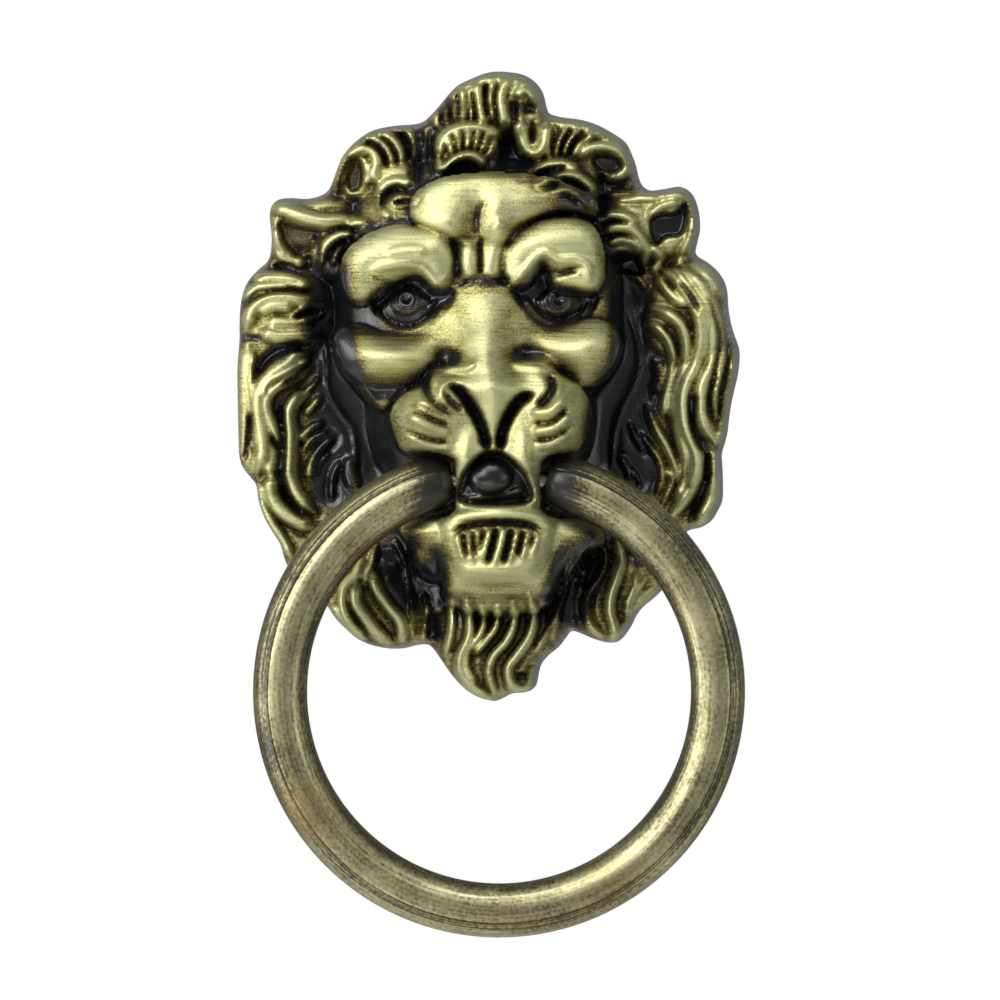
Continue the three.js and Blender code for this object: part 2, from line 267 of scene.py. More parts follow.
class Relief:
    """The mask's front as depths above the door on a square grid, all in millimetres."""

    LOW = (-28.6, -34.2)
    HIGH = (26.4, 34.2)
    GROUND = 4.4  # depth of the mane's ground
    PILLOW_DOME = 0.6  # power that the dome rises by: under 1 it is full, and steep at its foot
    PILLOW_SKIRT = 2.0  # how fast a pillow falls away outside its outline
    PLATE_BLEND = 1.1
    PLATE_MARGIN = 0.35  # how far a plate's rounded edge starts outside its outline
    LOCK_FOOT = 1.45  # half width at the foot of a strand, over its own half width
    LOCK_BLEND = 0.12
    FULL_VALLEY_RISE = 1.6  # rise of a strand whose valley is at its darkest
    VALLEY_DEPTH = 0.6
    VALLEY_LACQUER = 0.4
    IRIS_RINGS = ((0.28, 0.72), (0.22, 1.35))  # rise and radius
    RING_WIDTH = 0.2
    PUPIL = (0.4, 0.36)  # depth and radius

    def __init__(self, step: float) -> None:
        """Lays out the grid, with the points a step apart.

        Args:
            step: the distance between neighbouring points.
        """
        self.step = step
        self.xs = np.arange(self.LOW[0], self.HIGH[0] + step, step)
        self.zs = np.arange(self.LOW[1], self.HIGH[1] + step, step)
        self.x, self.z = np.meshgrid(self.xs, self.zs)
        self.form = np.full(self.x.shape, self.GROUND)
        self.height = self.form
        # lacquer holds the black of the finish, and also the painted shade clouds and the painted highlight taken
        # off it along rims.
        self.raised, self.sunk, self.lacquer, self.crest, self.valley = np.zeros((5, *self.x.shape))

    def window(self, points: np.ndarray, margin: float) -> Window:
        """Finds the grid's part round a set of points.

        Args:
            points: the points, one to a row.
            margin: how far the part reaches beyond them.

        Returns:
            The part's rows and columns.
        """
        low, high = points.min(0) - margin, points.max(0) + margin
        i = np.searchsorted(self.zs, (low[1], high[1]))
        j = np.searchsorted(self.xs, (low[0], high[0]))
        return slice(max(i[0] - 1, 0), i[1] + 1), slice(max(j[0] - 1, 0), j[1] + 1)

    def near(self, path: np.ndarray, part: Window) -> tuple[np.ndarray, np.ndarray]:
        """Measures each grid point against a path.

        Args:
            path: the path's points, one to a row.
            part: the rows and columns to measure.

        Returns:
            The distance to the path, and how far along it, from 0 to 1, the nearest point lies.
        """
        x, z = self.x[part], self.z[part]
        best = np.full(x.shape, 1e9)
        along = np.zeros(x.shape)
        lengths = np.linalg.norm(np.diff(path, axis=0), axis=1)
        run = np.concatenate([[0], np.cumsum(lengths)])
        for k, (start, end) in enumerate(zip(path[:-1], path[1:])):
            span = end - start
            t = ((x - start[0]) * span[0] + (z - start[1]) * span[1]) / max(span @ span, 1e-9)
            t = np.clip(t, 0, 1)
            gap = (x - start[0] - t * span[0]) ** 2 + (z - start[1] - t * span[1]) ** 2
            closer = gap < best
            best = np.where(closer, gap, best)
            along = np.where(closer, (run[k] + t * lengths[k]) / run[-1], along)
        return np.sqrt(best), along

    def inside(self, loop: np.ndarray, part: Window) -> np.ndarray:
        """Measures each grid point against a closed loop.

        Args:
            loop: the loop's points, one to a row.
            part: the rows and columns to measure.

        Returns:
            The distance to the loop, above 0 inside it and below 0 outside.
        """
        x, z = self.x[part], self.z[part]
        closed = np.vstack([loop, loop[:1]])
        gap, _ = self.near(closed, part)
        crossings = np.zeros(x.shape, int)
        for (x0, z0), (x1, z1) in zip(closed[:-1], closed[1:]):
            if z0 == z1:
                continue
            spans = (z0 > z) != (z1 > z)
            crossings += spans & (x < x0 + (z - z0) * (x1 - x0) / (z1 - z0))
        return np.where(crossings % 2 == 1, gap, -gap)

    def turned(self, p: Pillow | Swell) -> tuple[np.ndarray, np.ndarray]:
        """How far each grid point lies across and up a turned form, where 1 is its edge.

        Args:
            p: the form.

        Returns:
            The way across and the way up, at each grid point.
        """
        a = math.radians(p.turn)
        dx, dz = self.x - p.x, self.z - p.z
        across = (dx * math.cos(a) + dz * math.sin(a)) / p.half_width
        up = (dz * math.cos(a) - dx * math.sin(a)) / p.half_height
        return across, up

    def cloud(self, p: Swell) -> np.ndarray:
        """A soft cloud of the swell's rise over the grid."""
        across, up = self.turned(p)
        return p.rise * np.exp(-(across**2) - up**2)

    def pillow(self, p: Pillow) -> None:
        """Adds a rounded form.

        Args:
            p: the form.
        """
        across, up = np.abs(self.turned(p))
        inner = 1 - across**p.squareness - up**p.squareness
        dome = np.where(inner > 0, np.clip(inner, 0, 1) ** self.PILLOW_DOME, self.PILLOW_SKIRT * inner)
        self.form = smooth_max(self.form, p.base + (p.top - p.base) * dome, p.blend)

    def swell(self, p: Swell) -> None:
        """Adds a soft rise or dip."""
        self.form += self.cloud(p)

    def darkening(self, p: Swell) -> None:
        """Paints a soft cloud of black on the forms: painted shade, and in part black of the finish."""
        self.lacquer = np.clip(self.lacquer + self.cloud(p), 0, 1)

    def plate(self, p: Plate) -> None:
        """Adds a flat-topped form.

        Args:
            p: the form.
        """
        loop = smooth_path(p.points, 0.5, closed=True)
        part = self.window(loop, 0.5)
        rim = np.clip((self.inside(loop, part) + self.PLATE_MARGIN) / p.edge, 0, 1)
        height = p.base + (p.top - p.base) * rounded(rim)
        blended = smooth_max(self.form[part], height, self.PLATE_BLEND)
        self.form[part] = np.where(rim > 0, blended, self.form[part])

    def lock(self, p: Lock) -> None:
        """Adds a raised strand, rounded across and tapered at both ends, and marks the valley beside it.

        Args:
            p: the strand.
        """
        path = smooth_path(p.points, 0.45)
        part = self.window(path, p.half_width * 2.4 + 0.4)
        gap, along = self.near(path, part)
        taper = tapered(along, rate=7, blunt=0.45)
        across = np.clip(gap / (p.half_width * self.LOCK_FOOT * taper), 0, 1)
        rise = p.rise * taper * (1 - across**2) ** 0.75
        self.raised[part] = smooth_max(self.raised[part], rise, self.LOCK_BLEND)
        crest = np.clip(2.2 * (1 - gap / (1.25 * p.half_width * taper)), 0, 1)
        self.crest[part] = np.maximum(self.crest[part], crest)
        beside = np.exp(-(((gap - 1.3 * p.half_width) / (0.3 * p.half_width + 0.14)) ** 2))
        dark = taper * min(p.rise, self.FULL_VALLEY_RISE) / self.FULL_VALLEY_RISE * beside
        self.valley[part] = np.maximum(self.valley[part], dark)

    def darken_valleys(self) -> None:
        """Sinks and blackens the valleys between strands, but not where another strand crosses them."""
        valley = self.valley * (1 - self.crest)
        self.sunk = np.maximum(self.sunk, self.VALLEY_DEPTH * valley)
        self.lacquer = np.maximum(self.lacquer, self.VALLEY_LACQUER * valley)

    def cut(self, p: Cut) -> None:
        """Adds a crease and the lacquer in it, or takes lacquer off for rubbed rims and painted highlight.

        Args:
            p: the crease.
        """
        path = smooth_path(p.points, 0.4)
        part = self.window(path, p.half_width * 2.6)
        gap, along = self.near(path, part)
        taper = tapered(along, rate=6, blunt=0.35)
        fall = np.exp(-((gap / (p.half_width * (0.4 + 0.6 * taper))) ** 2))
        self.sunk[part] = np.maximum(self.sunk[part], p.depth * taper * fall)
        darkening = p.lacquer * np.clip(1.5 * taper * np.exp(-((gap / (1.05 * p.half_width)) ** 3)), 0, 1)
        # Below 0, lacquer is taken off, for rubbed rims and painted highlight along thin edges.
        if p.lacquer < 0:
            self.lacquer[part] *= 1 + np.clip(darkening, -1, 0)
        else:
            self.lacquer[part] = np.maximum(self.lacquer[part], darkening)

    def pocket(self, p: Pocket) -> None:
        """Adds a sunk place and the lacquer in it.

        Args:
            p: the sunk place.
        """
        loop = smooth_path(p.points, 0.4, closed=True)
        part = self.window(loop, 1.0)
        ease = eased(self.inside(loop, part) / p.slope + 0.35)
        self.sunk[part] = np.maximum(self.sunk[part], p.depth * ease)
        self.lacquer[part] = np.maximum(self.lacquer[part], p.lacquer * ease)

    def bead(self, p: Bead) -> None:
        """Adds an eyeball with the rings of its iris and its pupil.

        Args:
            p: the eyeball.
        """
        body = 1 - ((self.x - p.x) / p.half_width) ** 2 - ((self.z - p.z) / p.half_height) ** 2
        self.raised = np.maximum(self.raised, p.rise * np.sqrt(np.clip(body, 0, 1)))
        off = np.hypot(self.x - p.iris_x, self.z - p.iris_z)
        for rise, radius in self.IRIS_RINGS:
            self.raised += rise * np.exp(-(((off - radius) / self.RING_WIDTH) ** 2))
        depth, radius = self.PUPIL
        self.raised -= depth * np.exp(-((off / radius) ** 2))


# ---- the mask's forms -------------------------------------------------------------------------------

# Folds whose rims are also lightened: rubbed bright by the wheel, and painted highlight along them.
LEFT_LID_OUTER: Path = ((-12.8, 8.3), (-12.1, 6.9), (-10.6, 6.0), (-8.9, 6.0), (-7.2, 7.0), (-5.6, 8.5))
LEFT_LID_INNER: Path = ((-12.2, 8.6), (-11.5, 7.4), (-10.2, 6.8), (-8.8, 6.9), (-7.6, 7.8), (-6.6, 8.9))
RIGHT_LID_OUTER: Path = ((2.6, 9.2), (3.8, 7.5), (5.4, 6.6), (7.2, 6.6), (8.8, 7.5), (9.6, 8.8))
RIGHT_LID_INNER: Path = ((3.8, 9.1), (4.7, 7.8), (6.2, 7.3), (7.8, 7.8), (8.8, 8.9))
LEFT_SEAM: Path = ((-18.3, 5.0), (-18.1, 2), (-18, -0.5), (-16.9, -2.6), (-15.5, -4.6), (-15, -8))
RIGHT_SEAM: Path = ((13.5, 8.0), (14.5, 5), (14.8, 2.4), (14.2, 0), (13, -2.4), (12.2, -5), (11.9, -8.6))

OUTLINE: Path = (
    (0, 33.4), (2.0, 33.2), (3.1, 32.8), (4.1, 32), (4.7, 31), (5, 29.8), (5.3, 29), (6, 28.7), (7, 28.5),
    (8.6, 28.3), (10, 27.9), (11.1, 27.4), (12.3, 26.7), (13.4, 25.9), (14, 24.8), (14.5, 23.5),
    (14.8, 22.2), (15.2, 21.3), (16, 20.8), (17.2, 20.9), (18.3, 21.1), (19.2, 21.2), (20.2, 20.7),
    (20.8, 19.8), (21.2, 18.4), (21.3, 16.6), (21, 15.2), (20.9, 14), (22.2, 13.1), (23.2, 12.2),
    (23.9, 11.1), (24.2, 10), (24.3, 8.5), (24.5, 7.1), (24.9, 5.6), (25.4, 4.2), (25.5, 3),
    (25.3, 1.2), (24.9, -0.5), (24.5, -2.5), (24.2, -4.9), (23.9, -6.1), (23.6, -7.2), (23.7, -9),
    (23.7, -11.8), (23.2, -13.1), (22.5, -14.2), (21.4, -14.9), (20, -15.3), (19.4, -16.5),
    (19, -18.2), (18.3, -20), (17.4, -21.4), (16.4, -22.4), (15.3, -23.3), (14.6, -24.2), (14, -25.4),
    (13.3, -26.4), (12.6, -27), (11.5, -27.1), (10, -26.7), (8.6, -26.1), (7.7, -25.9), (7.1, -26.6),
    (6.3, -27.6), (5.2, -28.5), (4.5, -29.4), (4.2, -30.5), (4, -31.5), (3.5, -32.1), (2.6, -32.4),
    (1.4, -32.5), (0.4, -33), (-0.5, -33.3), (-1.8, -33), (-3, -32.4), (-4, -31.6), (-5, -30.5),
    (-6, -29.1), (-7, -27.7), (-7.7, -27.3), (-8.8, -27.4), (-10, -27.7), (-11.5, -27.75),
    (-13.4, -27.4), (-14.8, -26.8), (-16, -25.8), (-17.2, -24.6), (-18.2, -23.2), (-19.6, -21.7),
    (-21, -20.5), (-22.2, -19.3), (-22.8, -18), (-23.1, -16.8), (-23.8, -15.6), (-24.6, -14.3),
    (-25.2, -12.9), (-25.5, -11.8), (-25.7, -10.4), (-26.3, -9.6), (-27.1, -8.5), (-27.5, -7.2),
    (-27.6, -5), (-27.65, -2.6), (-27.7, 0), (-27.7, 2.3), (-27.5, 5), (-27.5, 6.5), (-27.4, 8.5),
    (-27.1, 10), (-26.5, 11.3), (-25.5, 12.4), (-24.6, 13.2), (-24.2, 14.2), (-24.1, 16), (-24.3, 18),
    (-24.1, 19.1), (-23.4, 19.8), (-22.1, 20), (-20.4, 19.9), (-19, 20.2), (-18.1, 20.8),
    (-17.6, 21.8), (-17.1, 23.2), (-16.5, 24.5), (-15.5, 25.7), (-14.5, 26.5), (-13.5, 27.1),
    (-12, 27.5), (-10.5, 27.7), (-9, 27.8), (-8, 28.1), (-7.2, 28.8), (-6.3, 29.8), (-5.4, 30.9),
    (-4.4, 31.9), (-3, 32.6), (-1.5, 33.2),
)

# Each rounded form: middle x and z, half width, half height, depth it rises from, depth at its top,
# turn in degrees, and squareness (2 is an ellipse).
FACE_FORMS: tuple[Pillow, ...] = (
    Pillow(-2.2, 9.4, 15.0, 14.4, 4.6, 12.8, 0, 2.6, 1.5),  # skull
    Pillow(-2.0, -3.0, 11.8, 9.8, 4.6, 10.8, 0, 2.4, 1.5),  # jaws
    Pillow(-1.6, 13.4, 4.2, 4.8, 10.0, 13.9, 0, 2.4, 0.8),  # between the brows
    Pillow(-3.1, 13.0, 1.2, 2.3, 12.8, 14.7, 3, 2.2, 0.5),  # frown
    Pillow(-1.4, 0.4, 5.4, 8.4, 10.0, 16.5, 0, 2.0, 2.0),  # bridge, down to the nose
    Pillow(3.4, 1.2, 3.2, 2.6, 11.0, 15.8, 0, 2.0, 1.6),
)

# Flat-topped forms: outline, depth it rises from, depth at its top, and width of its rounded edge.
FACE_PLATES: tuple[Plate, ...] = (
    Plate(((-8.9, 18.6), (-8.6, 17.1), (-7, 16.1), (-4.8, 15.3), (-2, 15), (0.6, 15), (1.8, 16.3), (3.9, 17.6),
           (6.4, 18.2), (9.9, 18.1), (9.6, 19.4), (7.4, 20.7), (4, 21.6), (0, 22), (-4, 21.8), (-6.9, 21),
           (-8.4, 19.9)), 12.9, 14.9, 2.2),  # forehead
    Plate(((-16.3, 12.0), (-15.8, 13.7), (-14.3, 15.1), (-12.2, 16.1), (-10, 16.5), (-7.6, 16.0), (-5.6, 15.0),
           (-4.8, 13.4), (-4.9, 11.8), (-5.6, 10.4), (-6.7, 9.9), (-7.6, 10.8), (-8.5, 11.5), (-9.8, 11.3),
           (-11.4, 10.4), (-12.8, 9.4), (-14.2, 8.8), (-15.5, 9.1), (-16.2, 10.4)), 12.7, 15.0, 2.4),  # left brow
    Plate(((0.5, 12.7), (0.9, 14.3), (2.3, 15.8), (4.2, 16.9), (6.2, 17.4), (8.2, 17.3), (9.6, 16.5), (10.4, 15.1),
           (10.8, 13), (10.6, 11), (9.7, 9.9), (8.2, 9.8), (5.9, 10.1), (5.4, 11.1), (4.6, 12.7), (3.9, 12.0),
           (3.2, 10.9), (2.0, 10.3), (1.0, 11.1)), 12.7, 15.0, 2.2),  # right brow
    Plate(((-15.2, 1.0), (-13.8, -1.0), (-12.2, -2.3), (-10.8, -1.2), (-9.2, -0.1), (-8.0, 0.7), (-10, 1.6),
           (-13, 1.6)), 8.6, 11.6, 0.9),  # facet under the left cheek
    Plate(((-17.1, 5.0), (-16.7, 3), (-15.7, 1.2), (-13.4, 0.2), (-10, 0.2), (-8, 0.5), (-4, 0.6), (3, 0.6),
           (5, 1.8), (6.6, 1.4), (8.5, 0.1), (10.7, 0.7), (12.1, 2.6), (12.5, 4.4), (11.9, 5.9), (9.8, 6.6),
           (7.4, 6.3), (5, 5.9), (3.3, 6.9), (1.9, 8.6), (0.6, 10.2), (-1.9, 10.9), (-4.0, 10.1), (-5.2, 8.4),
           (-6.8, 6.7), (-8.6, 5.4), (-10.4, 4.9), (-12.6, 5.2), (-14.4, 5.9), (-16.2, 6.0)),
          11.2, 13.6, 3.4),  # middle of the face
    Plate(((-11.0, -2.8), (-10.7, -4.9), (-9.6, -6.8), (-7.7, -7.7), (-6.0, -8.2), (-5.0, -9.7), (-4.7, -12.4),
           (-0.4, -13.4), (4.1, -12.4), (4.2, -9.7), (5.0, -8.5), (6.8, -7.6), (8.5, -5.9), (9.2, -3.6),
           (9.0, -1.4), (7.6, 0.3), (5.6, 1.2), (2.6, 1.6), (-1, 1.8), (-4.2, 1.6), (-6.4, 1.0), (-8.2, -0.2),
           (-10.0, -1.2)), 11.0, 17.2, 3.0),  # muzzle
    Plate(((-10.0, -15.0), (-7.8, -13.6), (-5.4, -12.4), (-4.4, -11.8), (4.2, -11.8), (5.4, -12.6), (7.8, -13.8),
           (10.5, -15.4), (10.3, -16.9), (8.2, -17.8), (6.6, -19.6), (5.0, -21.8), (0.2, -22.6), (-4.4, -21.9),
           (-6.0, -19.8), (-7.0, -17.6), (-8.7, -16.6)), 8.0, 13.6, 2.6),  # jaw
    Plate(((-5.9, -14.2), (-5.9, -15.6), (-5.3, -17.6), (-3.8, -20.0), (-2, -20.6), (2.4, -20.5), (3.9, -19.8),
           (5.2, -17.6), (5.7, -15.6), (5.6, -14.2), (3, -12.6), (-3.2, -12.6)), 11.6, 15.8, 2.2),  # chin
)

# Softer rises and dips over the forms.
SWELLS: tuple[Swell, ...] = (
    Swell(-5.5, 16.6, 2.4, 2.3, 1.5),  # forehead
    Swell(1.6, 18.4, 3.2, 1.9, 0.5),
    Swell(-0.3, 17.8, 1.1, 2.2, 0.7),
    Swell(-2.9, 17.0, 1.1, 2.0, -0.9, -10),
    Swell(-9.4, 13.5, 4.0, 1.6, 0.9),  # brows
    Swell(-13.4, 12.4, 2.6, 2.4, 0.2),
    Swell(5.6, 14.8, 3.6, 1.6, 0.8),
    Swell(-1.5, 6.8, 3.0, 4.6, 1.3),  # bridge
    Swell(-1.6, 2.8, 1.8, 2.4, 0.6),
    Swell(-11.2, 2.9, 4.6, 2.0, 2.2, -4),  # cheeks
    Swell(9.0, 3.8, 3.6, 2.3, 1.8, 8),
    Swell(-5.4, 3.1, 1.8, 0.9, -1.0),
    Swell(2.9, 3.3, 1.7, 0.9, -0.9),
    Swell(-1.4, 1.8, 2.0, 1.4, 0.5),  # nose
    Swell(-0.7, 0.0, 3.4, 1.9, 2.0),
    Swell(-0.7, -2.6, 1.6, 2.4, 1.4),
    Swell(-5.9, 0.1, 1.0, 1.5, 0.7, -20),  # nostrils' wings
    Swell(4.4, 0.9, 1.8, 0.9, 1.0, -14),
    Swell(-7.9, -3.2, 2.8, 2.6, 2.3),  # whisker pads
    Swell(5.9, -2.6, 2.8, 2.8, 2.3),
    Swell(-3.4, -7.2, 0.9, 2.4, 0.8, -12),  # beside the mouth
    Swell(2.7, -7.2, 0.9, 2.4, 0.8, 12),
    Swell(-0.4, -13.3, 5.2, 0.9, 1.6),  # lower lip
    Swell(-0.2, -19.4, 3.4, 0.9, 0.6),
)

JAW_FORMS: tuple[Pillow, ...] = (
    Pillow(6.4, -17.4, 3.0, 2.6, 6.0, 12.0, -36, 2.2, 1.8),
    Pillow(-6.4, -17.6, 2.8, 2.8, 6.0, 11.0, 36, 2.2, 1.8),
    Pillow(0.1, -21.4, 5.8, 3.0, 6.0, 11.6, 0, 2.4, 1.4),  # throat
    Pillow(-0.6, -27.4, 6.0, 7.0, 4.4, 7.0, 0, 2.4, 1.0),  # beard
)

MANE_FORMS: tuple[Pillow, ...] = (
    Pillow(-0.6, 29.8, 5.6, 4.2, 4.4, 6.6, 0, 2.4),  # top tuft
    Pillow(-3.4, 24.8, 3.6, 3.2, 5.0, 8.2, 0, 2.4),  # forelock
    Pillow(-12.8, 23.8, 4.8, 4.4, 4.4, 6.6, 20, 2.4),  # upper left tuft
    Pillow(-10.6, 20.6, 3.2, 2.6, 5.0, 7.4, 10, 2.4),
    Pillow(8.2, 25.4, 6.8, 3.4, 4.4, 6.8, -14, 2.4),  # upper right tuft
    Pillow(6.9, 21.2, 4.2, 3.0, 5.0, 7.8, -20, 2.4),
    Pillow(-19.8, 17.0, 5.0, 3.4, 4.4, 6.8, -6, 2.4),  # left ear
    Pillow(-16.2, 14.0, 3.4, 3.6, 4.4, 7.4, -30, 2.4),
    Pillow(17.4, 17.4, 4.4, 4.0, 4.4, 6.8, 10, 2.4),  # right ear
    Pillow(13.0, 16.6, 3.6, 3.2, 4.4, 7.6, 20, 2.4),
    Pillow(-22.6, 7.6, 5.2, 4.8, 4.4, 6.8, 10, 2.4),  # left locks' ground, from the top
    Pillow(-24.6, -2.2, 3.6, 9.0, 4.4, 5.8, 0, 2.4),
    Pillow(20.2, 8.0, 4.6, 5.6, 4.4, 6.8, -20, 2.4),  # right locks' ground
    Pillow(21.8, -3.0, 3.4, 8.4, 4.4, 5.8, 0, 2.4),
    Pillow(-13.4, -23.2, 4.6, 4.6, 4.4, 5.6, 10, 2.4),
    Pillow(11.8, -22.6, 3.8, 4.6, 4.4, 5.6, -6, 2.4),
)

